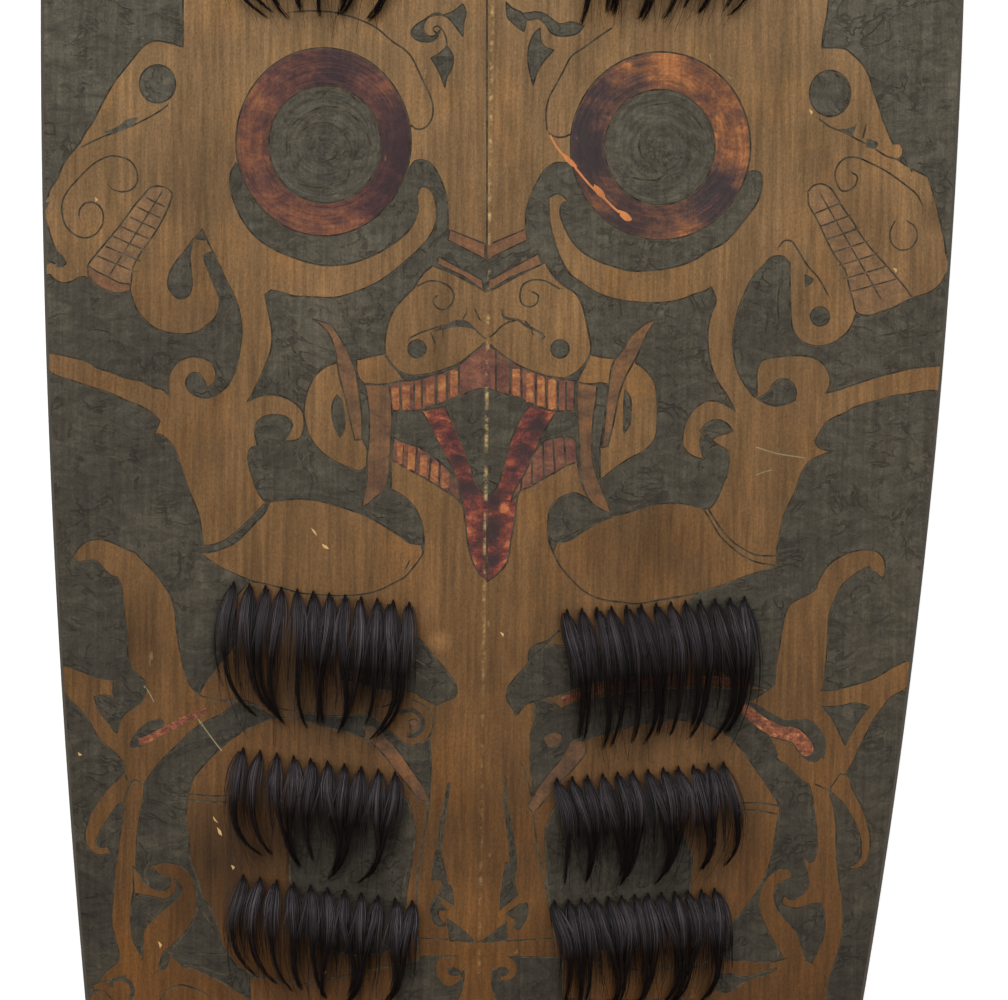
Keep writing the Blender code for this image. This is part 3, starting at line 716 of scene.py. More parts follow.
MASK_RIGHT = """756,205| 740,226 724,243 710,250 698,258 685,264 665,269 645,271 630,271 615,267 600,262
590,257 580,250 572,241 565,228 560,213 562,204 567,201| 563,196 556,194 549,198| 549,212 551,228 555,243
560,257 570,274 582,283| 592,290 605,296 620,300 635,302 652,303 668,302 682,299 695,294 705,291 711,287|
716,300 711,315 708,330 708,345 711,365 718,382 728,397 735,411| 726,405 715,401 705,402 697,407 690,415
685,425 683,435 683,445 688,453 695,457| 704,460| 712,446 720,446 728,452 729,462 727,475 722,487 718,497
710,508 703,509| 684,504 658,504 633,511 607,519 584,528 557,543| 550,538 547,525 550,508| 487,480| 487,255|
526,229| 526,213 530,198 537,182 545,170 555,163 567,163| 650,150| 744,176| 752,171 760,173 762,183 760,195"""
HOOK_SPIRAL_RIGHT = "700,440 704,434 712,432 722,434 732,431 726,423 715,420 705,425 700,432"
SPLIT_LINE = "550,135 556,146 563,155 570,162 578,171 588,183 597,192 605,199 613,207 621,214 628,219"
SPLIT_PATCHES = (
    "561,152| 570,158 577,167 573,167 565,160|", "594,184| 602,190 605,197 599,196 594,190|",
    "619,210| 627,213 632,220 626,221 620,216|",
)
EYE_CORNER_RIGHT = "549,134 556,137 564,137 571,134"
LOBE_EYE_RIGHT = (820, 316.5, 9.5, 9.5)
LOBE_LINE_RIGHT = "779,247 784,241 791,241 799,252 807,265 819,279 828,295"
LOBE_WEDGE_RIGHT = "805,275| 813,280 806,287|"
SNOUT_CRESCENT_RIGHT = "836,75 847,83 849,95 845,105"
LID_TICK_RIGHT = "866,125 863,138"
LID_LEAF_RIGHT = "867,138| 878,143 875,149 866,147|"
FINGER_LINES_RIGHT = ("783,281 779,290 778,305 779,322 781,335 785,345 791,352", "768,315 766,330 764,344")
CURL_LEAF_RIGHT = "757,399| 765,403 776,406 787,404 795,400| 796,390 790,381 781,379 773,384 768,392"
JAW_LEAF_RIGHT = """557,543| 570,540 584,531 607,519 633,511 658,504 684,504 703,509| 706,513 712,523
720,536 730,546 743,556 756,562 777,566| 756,573 738,579 720,586 705,591 690,595 670,598 650,602 635,604
620,602 605,600 592,596 580,588 570,578 560,566 553,552|"""
JAW_LINES_RIGHT = (
    "709,510 715,520 722,530 733,542 745,550 756,555 775,556", "549,525 548,535 550,545 553,552",
)
NECK_DARK_RIGHT = """777,567| 756,573 738,579 720,586 705,591 694,595| 686,605 686,625 692,650 706,668|
730,672 750,682 768,690| 774,685 776,665 779,650 782,630 785,615| 797,600 830,590"""
ARCH_LEFT = """73,557| 78,549 85,543 93,540 103,540 113,543 125,549 135,553 142,560 152,570 160,580 167,590
172,600 175,612 176,625 178,640 181,655 184,670 190,685 200,695 215,700| 262,706 300,712| 300,722 276,718|
240,700 225,712 205,722 190,732 182,740 172,750 160,762 150,775 143,786| 137,800 124,802| 124,790 121,780
124,773| 125,765 120,758 112,750 103,743 95,732 90,722 83,713 75,705 68,697 61,688| 40,680| 40,660| 62,665
72,668 80,671 92,676 100,679 113,680| 113,697| 104,695 94,697| 97,706 103,716 108,722 113,730 117,733|
120,722 126,713 135,707 143,700 146,690 144,680 138,675 132,668 128,655 127,640 126,625 124,610 123,595
121,585 117,577 112,576 105,570 98,562 93,560| 78,562|"""
LIMB_CURL_LEFT = """124,773| 115,782 107,790 100,800 93,810 88,822 85,835 87,845 93,852 101,855 110,853|
108,847 101,848 96,843 100,832 106,822 112,812 118,805 124,802| 130,788"""
LIMB_LEFT = """124,800| 123,820 120,835 118,850 115,870 114,890 112,910 112,925 116,940 119,955 117,963
108,970 100,980 98,985| 85,1010 84,1040 96,1075 118,1100| 112,1070 118,1040 132,1015 143,1003| 143,957|
138,950 133,940 131,925 131,910 132,897| 136,880 136,862| 137,835 140,815 143,800 144,786| 134,780"""
LIMB_HOOK_LEFT = """133,866| 139,873 142,880 149,886 156,890 164,890 170,886 171,880| 176,880 177,888
171,896 163,900 152,899 142,895 134,893|"""
LIMB_BULB_LEFT = """150,866| 158,864 168,863 178,865 187,871 193,880 196,890 197,900 196,912 192,922 185,932
178,940 170,947 163,954 155,985 140,1010| 128,985 143,957| 143,945 144,930 150,922 158,915 167,907 178,898|
182,890 175,880 162,876"""
BULB_LEAF_LEFT = """132,897| 140,895 155,897 165,900| 158,913 147,922 143,928 141,940 143,957| 138,950
133,940 131,925"""
BULB_STROKES_LEFT = ("150,862 146,868 145,876 149,884",)
BULB_SPOT_LEFT = "156,878| 162,875 168,879 167,886 161,889 158,884|"
FOOT_JOINS = (
    "127,972| 137,960 141,961 147,960| 156,967| 156,974| 140,977 127,979|",
    """787,957| 797,957 806,962 812,965 818,964 822,970 825,985 823,1000| 816,1000| 818,985 810,972 798,966
    787,964|""",
)
FOOT_BAND = """92,985| 130,975 165,968 170,954| 183,966 195,969 210,976 222,982 238,985 252,978| 300,966
360,952 416,938| 440,939 475,942 507,941 555,938| 620,950 680,962| 734,960 770,962 792,957| 815,965 826,979|
822,1000 815,1030| 760,1010 700,1000 620,1000| 560,1000 530,1010| 515,1040 510,1200 500,1560| 487,1600|
474,1560 462,1200 455,1040| 440,1005| 380,1000 300,1005 250,1012| 200,1030 150,1040| 110,1030|"""
WEDGE_LEFT = "167,953| 180,940 193,921 199,908 209,921 219,937 225,950 231,954|"
LENS_LEFT = "183,964| 195,965 210,970 222,974 235,969 250,967| 250,1000| 232,988 210,976"
FOOT_SPIRAL_LEFT = "111,987 112,981 121,979 130,983 133,991 130,1000"
FOOT_SCROLLS = (
    """443,957| 437,962 436,970 439,979 445,985 453,985 459,981| 461,975 455,976 449,974 447,970 451,967
    457,968 462,972| 466,968 468,957|""",
    """494,957| 506,957 514,961 517,968 515,975 509,980 502,980| 499,977 505,976 509,972 507,968 500,967
    494,970|""",
)
FOOT_DARKS = (
    "395,957| 456,956| 463,966 463,985 458,1000| 452,1045| 395,1045|",
    "503,957| 562,957| 562,1045| 500,1045| 496,1000 492,985 493,968|",
)
LEAF_LOW_RIGHT = "527,903| 528,912 525,921 519,930| 514,927 516,921 512,917 506,914| 513,909 520,904|"
FOOT_LINE_LEFT = "96,990 104,992 111,998"
FOOT_ARC_LEFT = "160,1000 168,990 180,985 190,987 205,993"
SNAKE_LEFT = "139,742 150,738 161,732 173,726 184,720 195,715 206,708"
SNAKE_BACK_LEFT = "129,748| 132,738 139,729 148,722 160,718| 164,722 154,734 141,747|"
DISC_LEFT = """276,718 244,731 222,747 206,763 193,779 188,800 186,820 189,840 190,858 198,880 202,895
210,908 217,925 222,945| 240,968 300,985| 420,960| 416,905 417,880 421,850 424,835 427,820 427,799| 416,785
408,775 400,765 392,755 380,745 365,738 350,733 330,728 300,720"""
DISC_SHADE_LEFT = """300,802| 340,790 380,790 408,800| 415,830 412,860 406,900 405,945| 370,955 330,950
300,930| 290,880 292,840"""
DISC_LINES_LEFT = ("172,794 190,794 210,796 240,796", "174,801 190,800 212,802 240,803")
BEAK_LEFT = """400,642| 418,638| 425,645 433,655 440,663 447,672 453,680 457,690 455,697 448,700 441,703
436,706| 430,702 422,698 415,693 405,691 380,690 365,685 340,680| 340,650|"""
BEAK_FIELD_LEFT = """385,706| 405,700 420,703 430,712 433,725 428,738 418,744 408,745 395,735 380,722
368,712|"""
BEAK_CURL_LEFT = "400,713 412,710 422,719 422,729 413,736 407,735"
BEAK_SPOT_LEFT = "409,721| 415,719 419,724 417,730 411,731|"
SNAKE_LOW_LEFT = """364,726| 376,728 386,738 396,748 405,760 413,772 422,785 430,801| 420,800 408,786
398,774 388,760 376,747 366,738"""
COLUMN_LINE_LEFT = "416,905 417,880 419,865 421,850 424,835 427,820 430,790 431,757"
COLUMN_INNER_LEFT = "403,900 404,885 408,865 413,850"
DROP_LEFT = """448,783| 445,800 441,820 438,845 434,860 432,880| 441,880| 446,890 454,907| 450,890 446,875
443,862 441,850 443,830 447,805 450,783|"""
DROP_TIP_LEFT = "447,881| 452,890 454,906| 446,900 438,896| 441,888"
CRESCENT_LEFT = "436,896| 432,903 431,912 433,920 439,926 448,925| 442,922 438,915 439,910 447,911| 441,903"
TRIANGLES_LOW = ("447,919| 460,928 474,941| 450,941|", "507,922| 493,933 483,941| 507,941|")
ARCH_RIGHT = """883,579| 885,572 884,560 877,552 865,550 852,552 842,556 832,562 825,570 819,580 815,590
805,596 797,600 790,605 785,615 782,630 779,650 776,665 774,685 768,690| 757,697 744,705 733,714| 740,712
747,708 758,716 768,723 780,726 790,727 797,724 808,722 816,728 821,738 821,752| 800,757 783,753| 776,757
790,768 806,778 808,783| 812,795 829,792| 835,797 846,776| 848,770 854,760 858,750 862,742 868,730 875,717
882,708 890,698 898,693 906,689 925,680| 925,650| 908,660 900,664 890,669 877,677 865,682 850,686 835,690
820,691| 823,688 825,670 827,650 828,630 829,615 833,603 838,592 843,584 850,578 858,572 868,567 876,573"""
ARCH_DOT_RIGHT = (868, 571, 4.5, 5.5)
ARM_WEDGE_RIGHT = "822,707| 840,706 855,703 870,707| 863,715 855,727 848,740 845,746| 840,735 833,720"
LIMB_OUTER_RIGHT = """829,790| 840,774| 848,776 852,789 857,798 862,808 867,822 870,838 869,855 865,864
855,869 848,868| 855,864 860,859 861,845 860,835 855,823 848,810 840,800"""
LIMB_RIGHT = """808,781| 812,795 814,810 816,825 817,845 814,860 805,864| 809,872 811,880 809,889 803,896
793,900 784,896| 782,903 792,908 803,907 812,903 820,902| 824,912 825,922 823,938 818,950 812,962| 806,975
800,1000 815,1030| 826,1000 828,982 833,968 837,955 841,940 843,920 842,900 839,880 837,862 836,845 836,825
833,805 828,790|"""
LIMB_LOW_RIGHT = """792,878| 790,871 783,869 775,871 767,878 761,890 759,903 761,915 766,927 773,940 780,952
786,968| 812,975| 807,962 803,950 798,936 791,925 784,918 779,911 775,902 774,893 777,885 784,881|"""
SNAKE_BAND_RIGHT = "562,700 600,690 650,680 700,679 735,682 748,685"
SNAKE_RIGHT = """739,706 746,704 756,710 764,716 774,722 784,726 792,726 801,730 808,737 814,746 813,753
807,757 801,755 797,749 792,743 783,740 772,737 761,731 750,722 742,714"""
SNAKE_FIELD_RIGHT = "772,737 786,741 796,748 806,760 816,762 822,757| 830,770 812,784 792,770 778,754|"
LIMB_SHOULDER_RIGHT = "804,858 812,868| 818,864| 821,902| 806,903 797,899 805,893 809,884 808,872|"
FOOT_WEDGE_RIGHT = "714,976 730,974 745,977 763,972 777,968| 768,974 752,978 738,986 727,992 716,990|"
SNAKE_BACK_RIGHT = """738,706| 752,703 770,712 786,720 797,719 810,720 820,729 826,742 824,760| 812,764
790,752 756,738"""
DISC_RIGHT = """703,723 726,734 742,750 758,773 771,792 780,808 777,824 774,844 768,869 758,889 745,908
734,921| 720,950 700,965 640,970| 556,957| 553,930 546,889 541,863 536,837 533,810| 543,795 559,778 573,762
585,742 610,732 640,725 672,720"""
DISC_SHADE_RIGHT = "545,830| 560,800 600,790| 650,800 690,850 690,890| 640,945 560,950| 548,890"
DISC_LINES_RIGHT = ("739,803 752,803 768,804 779,806", "739,810 752,810 766,812 776,814")
BEAK_RIGHT = """548,645| 540,650 532,658 525,667 515,678 508,690 507,700 512,708 516,716| 525,705 540,700
560,695 590,684 640,676| 640,650| 600,646 570,646"""
BEAK_CURL_RIGHT = "582,702 565,708 550,715 540,722 533,730 532,740 537,748 548,752"
BEAK_SPOT_RIGHT = "543,738| 552,733 562,735 560,744 548,747"
SNAKE_LOW_RIGHT = """585,742| 573,740 562,758 550,772 538,788 528,806| 533,812 545,800 560,784 574,768
586,752"""
COLUMN_LINE_RIGHT = "523,766 530,789 533,811 536,837 541,863 546,889 551,917 554,937"
DROP_RIGHT = "506,779| 507,805 512,831 516,853| 516,870 512,885 506,905| 508,880 510,860 508,835 504,805|"
HEEL_RIGHT = "506,862| 511,868 513,880 518,895| 509,902 500,910| 501,896 503,880"
CHIPS = (
    "311,528| 315,531 317,536| 314,533", "322,544| 327,546 329,549| 324,548",
    "213,816| 216,820 218,823| 214,820", "217,827| 221,831 222,836| 219,834", "231,865| 235,867 233,870|",
    "95,197| 98,200 96,203|", "500,632| 504,634 503,637|", "322,968| 326,972 323,975|",
    "158,941| 162,945 160,948|", "78,752| 82,755 79,756|", "809,109| 813,112 811,115|",
    "741,688| 745,690 743,693|", "893,268| 897,269 896,273|",
)
SCRATCHES = ("198,719 206,730 214,741 222,751", "756,447 775,453 805,458", "756,475 764,472 772,470",
    "144,686 150,694 154,702", "710,54 711,60", "728,76 731,79")
FIELD_LINES = (
    "880,336 900,332 920,326", "905,338 930,334 945,329", "880,357 900,349 920,344",
    "683,345 686,360 690,378", "660,362 668,374", "705,368 712,385 722,400", "690,325 688,340 691,352",
    "905,160 912,172", "870,437 890,436 905,440", "890,442 893,455", "300,330 292,345 300,360",
    "288,360 290,380 300,395", "100,455 120,458 145,470", "90,425 110,430 135,440",
    "215,345 222,330 226,310", "225,290 232,300", "410,560 405,570", "400,650 430,668", "404,664 428,680",
)


class Shape:
    """A painted area or a cut line: its points on the face, whether it closes, its paint and its groove."""

    def __init__(self, points, closed, paint, groove, depth):
        self.points, self.closed, self.paint, self.groove, self.depth = points, closed, paint, groove, depth


STEP = 0.00135
CURVE_POWER = 0.5
LEAST_LENGTH = 1e-6
# How far a groove reaches to each side of its line, and how deep it is
GROOVE = 0.00046
WIDE_GROOVE = 0.0005
THIN_GROOVE = 0.0004
RIBBON_GROOVE = 0.00035
FINE_GROOVE = 0.0003
GROOVE_DEPTH = 0.00045
EYE_GROOVE_DEPTH = 0.0004
SHALLOW_DEPTH = 0.0003
# How far a painted ribbon reaches to each side of its line
TOOTH_REACH = 0.0018
SNAKE_BAND_REACH = 0.0018
SNAKE_REACH = 0.0017
CURL_REACH = 0.0011
NOSE_CURL_REACH = 0.0008
NOSE_FOLD_REACH = 0.0007
SPLIT_REACH = 0.0005
SCRATCH_REACH = 0.0003
# The two long edges of each row of fangs, between which its bars run
FANG_EDGES_LEFT = ((154, 188), (90, 266)), ((170, 196), (130, 283))
FANG_EDGES_RIGHT = ((810, 200), (856, 305)), ((832, 190), (905, 292))
FANG_ROWS = 8
shapes = []


def read_points(text):
    """The outline's points on the face, and which are corners."""
    places, corners = [], []
    for word in text.split():
        corners.append(word.endswith("|"))
        column, row = word.rstrip("|").split(",")
        places.append(on_face(float(column), float(row)))
    return np.array(places), corners


def smooth_run(points):
    """A centripetal curve through these points, in steps of about STEP."""
    if len(points) == 2:
        count = max(1, round(float(np.linalg.norm(points[1] - points[0])) / STEP))
        return [points[0] + (points[1] - points[0]) * i / count for i in range(count + 1)]
    ends = [2 * points[0] - points[1], *points, 2 * points[-1] - points[-2]]
    run = [points[0]]
    for a, b, c, d in zip(ends, ends[1:], ends[2:], ends[3:]):
        knots = [0.0]
        for p, q in ((a, b), (b, c), (c, d)):
            knots.append(knots[-1] + max(LEAST_LENGTH, float(np.linalg.norm(q - p))) ** CURVE_POWER)
        count = max(1, round(float(np.linalg.norm(c - b)) / STEP))
        for i in range(1, count + 1):
            t = knots[1] + (knots[2] - knots[1]) * i / count
            ab = a + (b - a) * (t - knots[0]) / (knots[1] - knots[0])
            bc = b + (c - b) * (t - knots[1]) / (knots[2] - knots[1])
            cd = c + (d - c) * (t - knots[2]) / (knots[3] - knots[2])
            abc = ab + (bc - ab) * (t - knots[0]) / (knots[2] - knots[0])
            bcd = bc + (cd - bc) * (t - knots[1]) / (knots[3] - knots[1])
            run.append(abc + (bcd - abc) * (t - knots[1]) / (knots[2] - knots[1]))
    return run


def traced(text, closed):
    """The smooth line through an outline's points, broken at its corners."""
    points, corners = read_points(text)
    count = len(points)
    if closed:
        if True not in corners:
            wrapped = smooth_run(np.concatenate([points[-3:], points, points[:3]]))
            start = min(range(len(wrapped)), key=lambda i: np.linalg.norm(wrapped[i] - points[0]))
            stop = max(range(len(wrapped)), key=lambda i: -np.linalg.norm(wrapped[i] - points[0]) * 1e6 + i)
            return np.array(wrapped[start:stop])
        first = corners.index(True)
        order = [(first + i) % count for i in range(count + 1)]
    else:
        order = list(range(count))
    line, run = [], []
    for step, i in enumerate(order):
        run.append(points[i])
        last = step == len(order) - 1
        if len(run) > 1 and (corners[i] or last):
            line += smooth_run(np.array(run))[:-1]
            run = [points[i]]
    if not closed:
        line.append(points[order[-1]])
    return np.array(line)


def rails(points, reach):
    """The two lines that run beside a line, this far out."""
    ahead = np.gradient(points, axis=0)
    ahead /= np.maximum(1e-9, np.linalg.norm(ahead, axis=1, keepdims=True))
    aside = np.stack([-ahead[:, 1], ahead[:, 0]], 1) * reach
    return points + aside, points - aside


def fill(paint, *texts, groove=GROOVE, depth=GROOVE_DEPTH):
    """Areas of one paint, each with a groove round it."""
    for text in texts:
        shapes.append(Shape(traced(text, True), True, paint, groove, depth))


def cut(*texts, groove=GROOVE, depth=GROOVE_DEPTH):
    for text in texts:
        shapes.append(Shape(traced(text, False), False, None, groove, depth))


def ribbon(paint, reach, *texts, groove=RIBBON_GROOVE):
    """Painted bands of even width along lines."""
    for text in texts:
        left, right = rails(traced(text, False), reach)
        shapes.append(Shape(np.concatenate([left, right[::-1]]), True, paint, groove, SHALLOW_DEPTH))


def disc(paint, column, row, half_wide, half_high, groove=GROOVE):
    count = max(16, round(2 * math.pi * half_wide * PIXEL / STEP))
    turns = [2 * math.pi * i / count for i in range(count)]
    points = [on_face(column + half_wide * math.cos(t), row + half_high * math.sin(t)) for t in turns]
    shapes.append(Shape(np.array(points), True, paint, groove, GROOVE_DEPTH))


def pixel_between(start, end, share):
    """The pixel at this share of the way from one pixel to another, as an outline's text."""
    return ",".join(f"{a + (b - a) * share:.1f}" for a, b in zip(start, end))


def fang_grid(left, right):
    """The bars between two edges of a row of fangs, and the line down their middle."""
    for i in range(1, FANG_ROWS):
        bar = " ".join(pixel_between(*edge, i / FANG_ROWS) for edge in (left, right))
        cut(bar, groove=THIN_GROOVE, depth=SHALLOW_DEPTH)
    middle = " ".join(pixel_between(start, end, 0.5) for start, end in zip(left, right))
    cut(middle, groove=THIN_GROOVE, depth=SHALLOW_DEPTH)


def draw_eyes():
    for side in ("left", "right"):
        disc(f"ring_{side}", *EYE_RINGS[side])
        disc(f"pupil_{side}", *PUPILS[side])
    cut(*PUPIL_LINES_LEFT, *PUPIL_LINES_RIGHT, groove=WIDE_GROOVE, depth=EYE_GROOVE_DEPTH)
    cut(EYE_CORNER_RIGHT, BAND_LINE_LEFT, CONTOUR_LEFT, CONTOUR_RIGHT)


def draw_snouts():
    for side in ("left", "right"):
        disc("dark", *SNOUT_DISCS[side])
    cut(LID_LEFT, LID_RIGHT, SNOUT_LINE_LEFT, SNOUT_LINE_RIGHT, LOBE_LINE_LEFT, LOBE_LINE_RIGHT)
    cut(SNOUT_CRESCENT_RIGHT, LID_TICK_RIGHT)
    cut(SNOUT_SPIRAL_RIGHT, groove=THIN_GROOVE, depth=SHALLOW_DEPTH)
    fill("dark", LID_WEDGE_LEFT, LID_WEDGE_RIGHT, LID_LEAF_RIGHT, groove=0)
    fill("fang", FANGS_LEFT)
    fill("chevron", LIPS_LEFT, groove=THIN_GROOVE)
    fang_grid(*FANG_EDGES_LEFT)
    ribbon("dark", NOSE_CURL_REACH, NOSE_CURL_LEFT)
    fill("fang", FANGS_RIGHT)
    fang_grid(*FANG_EDGES_RIGHT)
    fill("dark", TEARDROP_LEFT, LOBE_WEDGE_LEFT, LOBE_WEDGE_RIGHT, CURL_LEAF_RIGHT)
    disc("dark", *LOBE_EYE_RIGHT)
    cut(*FINGER_LINES_RIGHT)


def draw_forehead():
    fill("dark", SCROLL_LEAF_LEFT, SCROLL_HOOK_LEFT, SCROLL_TIP_LEFT, groove=THIN_GROOVE)
    fill("dark", SCROLL_LEAF_RIGHT, SCROLL_HOOK_RIGHT, SCROLL_TIP_RIGHT, groove=THIN_GROOVE)
    cut(SCROLL_LINE_LEFT)
    fill("chevron", RED_CHEVRON_LEFT, RED_CHEVRON_LOW_LEFT, groove=THIN_GROOVE)
    fill("chevron", RED_CHEVRON_RIGHT, RED_CHEVRON_LOW_RIGHT, groove=THIN_GROOVE)


def draw_nose():
    for side, nose in (("left", NOSE_LEFT), ("right", NOSE_RIGHT)):
        fill("ochre", nose)
        disc("dark", *NOSTRILS[side])
    cut(NOSE_SCROLL_LEFT, NOSE_LIP_LEFT, NOSE_SCROLL_RIGHT, NOSE_LIP_RIGHT)
    fill("dark", NOSE_SHADOW_LEFT, groove=0)
    ribbon("line", NOSE_FOLD_REACH, NOSE_FOLD_RIGHT, groove=0)
    cut(*NOSE_TICKS_LEFT, *NOSE_TICKS_RIGHT, groove=THIN_GROOVE)


def draw_mouth():
    fill("ochre", CHEEK_LEFT, CHEEK_RIGHT, MOUSTACHE_LEFT, MOUSTACHE_RIGHT, groove=THIN_GROOVE)
    fill("dark", CHEEK_LENS_LEFT, CHEEK_LENS_RIGHT)
    fill("tusk", TUSK_UP_LEFT, TUSK_UP_RIGHT)
    fill("tongue", TONGUE_LEFT, TONGUE_RIGHT)
    fill("tooth", GUMS_LEFT, GUMS_RIGHT, LOWER_GUMS_LEFT, LOWER_GUMS_RIGHT)
    ribbon("tooth_bright", TOOTH_REACH, *TEETH_BRIGHT, groove=0)
    cut(*TEETH_CUTS_LEFT, *TEETH_CUTS_RIGHT, *LOWER_CUTS_LEFT, *LOWER_CUTS_RIGHT, groove=WIDE_GROOVE)
    fill("tusk", TUSK_DOWN_LEFT, TUSK_DOWN_RIGHT)


def draw_jaws():
    fill("ochre", JAW_LEAF_LEFT, JAW_LEAF_RIGHT)
    cut(JAW_LINE_LEFT, CHIN_LEAF_LEFT, HOOK_SPIRAL_RIGHT, *JAW_LINES_RIGHT)


def draw_limbs():
    fill("ochre", ARCH_LEFT, LIMB_CURL_LEFT, LIMB_LEFT, LIMB_BULB_LEFT, LIMB_HOOK_LEFT, groove=THIN_GROOVE)
    fill("ochre", ARCH_RIGHT, LIMB_OUTER_RIGHT, LIMB_RIGHT, LIMB_LOW_RIGHT, groove=THIN_GROOVE)
    fill("ochre", LIMB_SHOULDER_RIGHT, groove=0)
    fill("ochre", FOOT_BAND, groove=THIN_GROOVE)
    fill("ochre", *FOOT_JOINS, groove=0)
    fill("dark", FOOT_WEDGE_RIGHT)
    fill("dark", BULB_SPOT_LEFT, groove=FINE_GROOVE)
    fill("dark", WEDGE_LEFT, LENS_LEFT, BULB_LEAF_LEFT, ARM_WEDGE_RIGHT, *FOOT_DARKS, groove=THIN_GROOVE)
    disc("dark", *ARCH_DOT_RIGHT, groove=0)


def draw_middle():
    """The two discs under the hair, the beaks and snakes round them and the column between them."""
    fill("ochre", DISC_LEFT, DISC_RIGHT)
    fill("dark", DISC_SHADE_LEFT, DISC_SHADE_RIGHT, BEAK_LEFT, BEAK_RIGHT)
    cut(*BULB_STROKES_LEFT, *DISC_LINES_LEFT, *DISC_LINES_RIGHT)
    cut(COLUMN_LINE_LEFT, COLUMN_INNER_LEFT, COLUMN_LINE_RIGHT, FOOT_ARC_LEFT, FOOT_LINE_LEFT)
    fill("ochre", BEAK_FIELD_LEFT, groove=THIN_GROOVE)
    ribbon("dark", CURL_REACH, BEAK_CURL_LEFT, BEAK_CURL_RIGHT, FOOT_SPIRAL_LEFT)
    ribbon("snake", SNAKE_BAND_REACH, SNAKE_BAND_RIGHT)
    fill("ochre", *FOOT_SCROLLS, groove=FINE_GROOVE)
    fill("dark", DROP_LEFT, DROP_TIP_LEFT, CRESCENT_LEFT, DROP_RIGHT, HEEL_RIGHT, groove=THIN_GROOVE)
    fill("dark", LEAF_LOW_RIGHT, *TRIANGLES_LOW, groove=THIN_GROOVE)
    fill("dark", SNAKE_BACK_LEFT, SNAKE_BACK_RIGHT, groove=0)
    ribbon("snake", SNAKE_REACH, SNAKE_LEFT)
    fill("ochre", SNAKE_FIELD_RIGHT, groove=0)
    fill("snake_bright", SNAKE_RIGHT, groove=THIN_GROOVE)
    fill("tusk", SNAKE_LOW_LEFT, SNAKE_LOW_RIGHT, BEAK_SPOT_LEFT, BEAK_SPOT_RIGHT, groove=THIN_GROOVE)


def draw_design():
    """The whole design, from what lies lowest to what is painted over it and what is worn off it."""
    fill("ochre", BROW_LEFT, BROW_RIGHT)
    fill("dark", MASK_LEFT, MASK_RIGHT)
    fill("ochre", CHIN)
    fill("dark", NECK_DARK_RIGHT, groove=0)
    for draw in (draw_eyes, draw_forehead, draw_snouts, draw_nose, draw_jaws, draw_mouth, draw_limbs):
        draw()
    draw_middle()
    cut(*FIELD_LINES, groove=THIN_GROOVE, depth=SHALLOW_DEPTH)
    ribbon("split", SPLIT_REACH, SPLIT_LINE, groove=0)
    fill("split", *SPLIT_PATCHES, groove=0)
    fill("bare", *CHIPS, groove=0)
    ribbon("scratch", SCRATCH_REACH, *SCRATCHES, groove=0)


# The board as one closed mesh

# The order of the board's materials
PAINTS = (
    "dark", "ochre", "line", "pupil_left", "pupil_right", "ring_left", "ring_right", "fang", "tooth",
    "tooth_bright", "tusk", "chevron", "tongue", "snake", "snake_bright", "split", "bare", "scratch", "back",
    "edge",
)
MILLIMETRE = 1000
# How far apart the board's points lie, and how near they come to lines and edges
RIM_STEP = 0.004
RIDGE_ROWS = (0.0, 0.0015, 0.0035, 0.0065, 0.011)
RIDGE_STEP = 0.004
BACKGROUND_STEP = 0.0056
JITTER = 0.2
BACK_STEP = 0.0075
BACK_STRETCH = 1.2
GRID_SEED = 11
BACK_GRID_SEED = 12
POINT_GAP = 0.00055
RAIL_GAP = 0.00036
LEAST_RAIL_SHARE = 0.9
LINE_SHARE = 0.93
LINE_MARGIN = 0.0012
GRID_MARGIN = 0.0015
BACK_MARGIN = 0.002
RIDGE_MARGIN = 0.003
LOOP_GROWTH = 1.08
MERGE_DISTANCE = 0.01
HIDDEN, UNGROOVED, GROOVED = range(3)
BOARD_SHARP_ANGLE = math.radians(24)
# Seed and depth of the unevenness of the face and of the hollow, which has it above this height only
FACE_CARVING = (3.0, 0.0003)
BACK_CARVING = (9.0, 0.0009)
CARVED_ABOVE = 0.001
KEEP_CLEAR = 0.0017
RIDGE_CLEAR = 0.0008
HOLE_RADIUS = 0.0019
HOLE_SIDES = 10
GRIP_SIDES = 32
GRIP_STEPS = 12
GRIP_BAR_STEPS = 6
GRIP_FLARE_POWER = 1.5
GRIP_ROOT = 0.4 * RIDGE_THICKNESS


def within_board(points, margin):
    sign = np.where(points[:, 0] >= 0, 1, -1)
    across = np.abs(points[:, 0]) < outline(points[:, 1], sign) - EDGE_CHAMFER - margin
    return across & (np.abs(points[:, 1]) < HEAD_TIP - EDGE_CHAMFER - margin)


def inside(polygon, places):
    """Which of these places lie inside a closed line."""
    found = np.zeros(len(places), bool)
    near = np.flatnonzero(((places >= polygon.min(0)) & (places <= polygon.max(0))).all(1))
    start, end = polygon, np.roll(polygon, -1, 0)
    rise = np.where(end[:, 1] == start[:, 1], 1e-12, end[:, 1] - start[:, 1])
    for part in np.array_split(near, len(near) // 4000 + 1):
        x, y = places[part, 0:1], places[part, 1:2]
        between = (start[:, 1] > y) != (end[:, 1] > y)
        left_of = x < start[:, 0] + (end[:, 0] - start[:, 0]) * (y - start[:, 1]) / rise
        found[part] = (between & left_of).sum(1) % 2 == 1
    return found


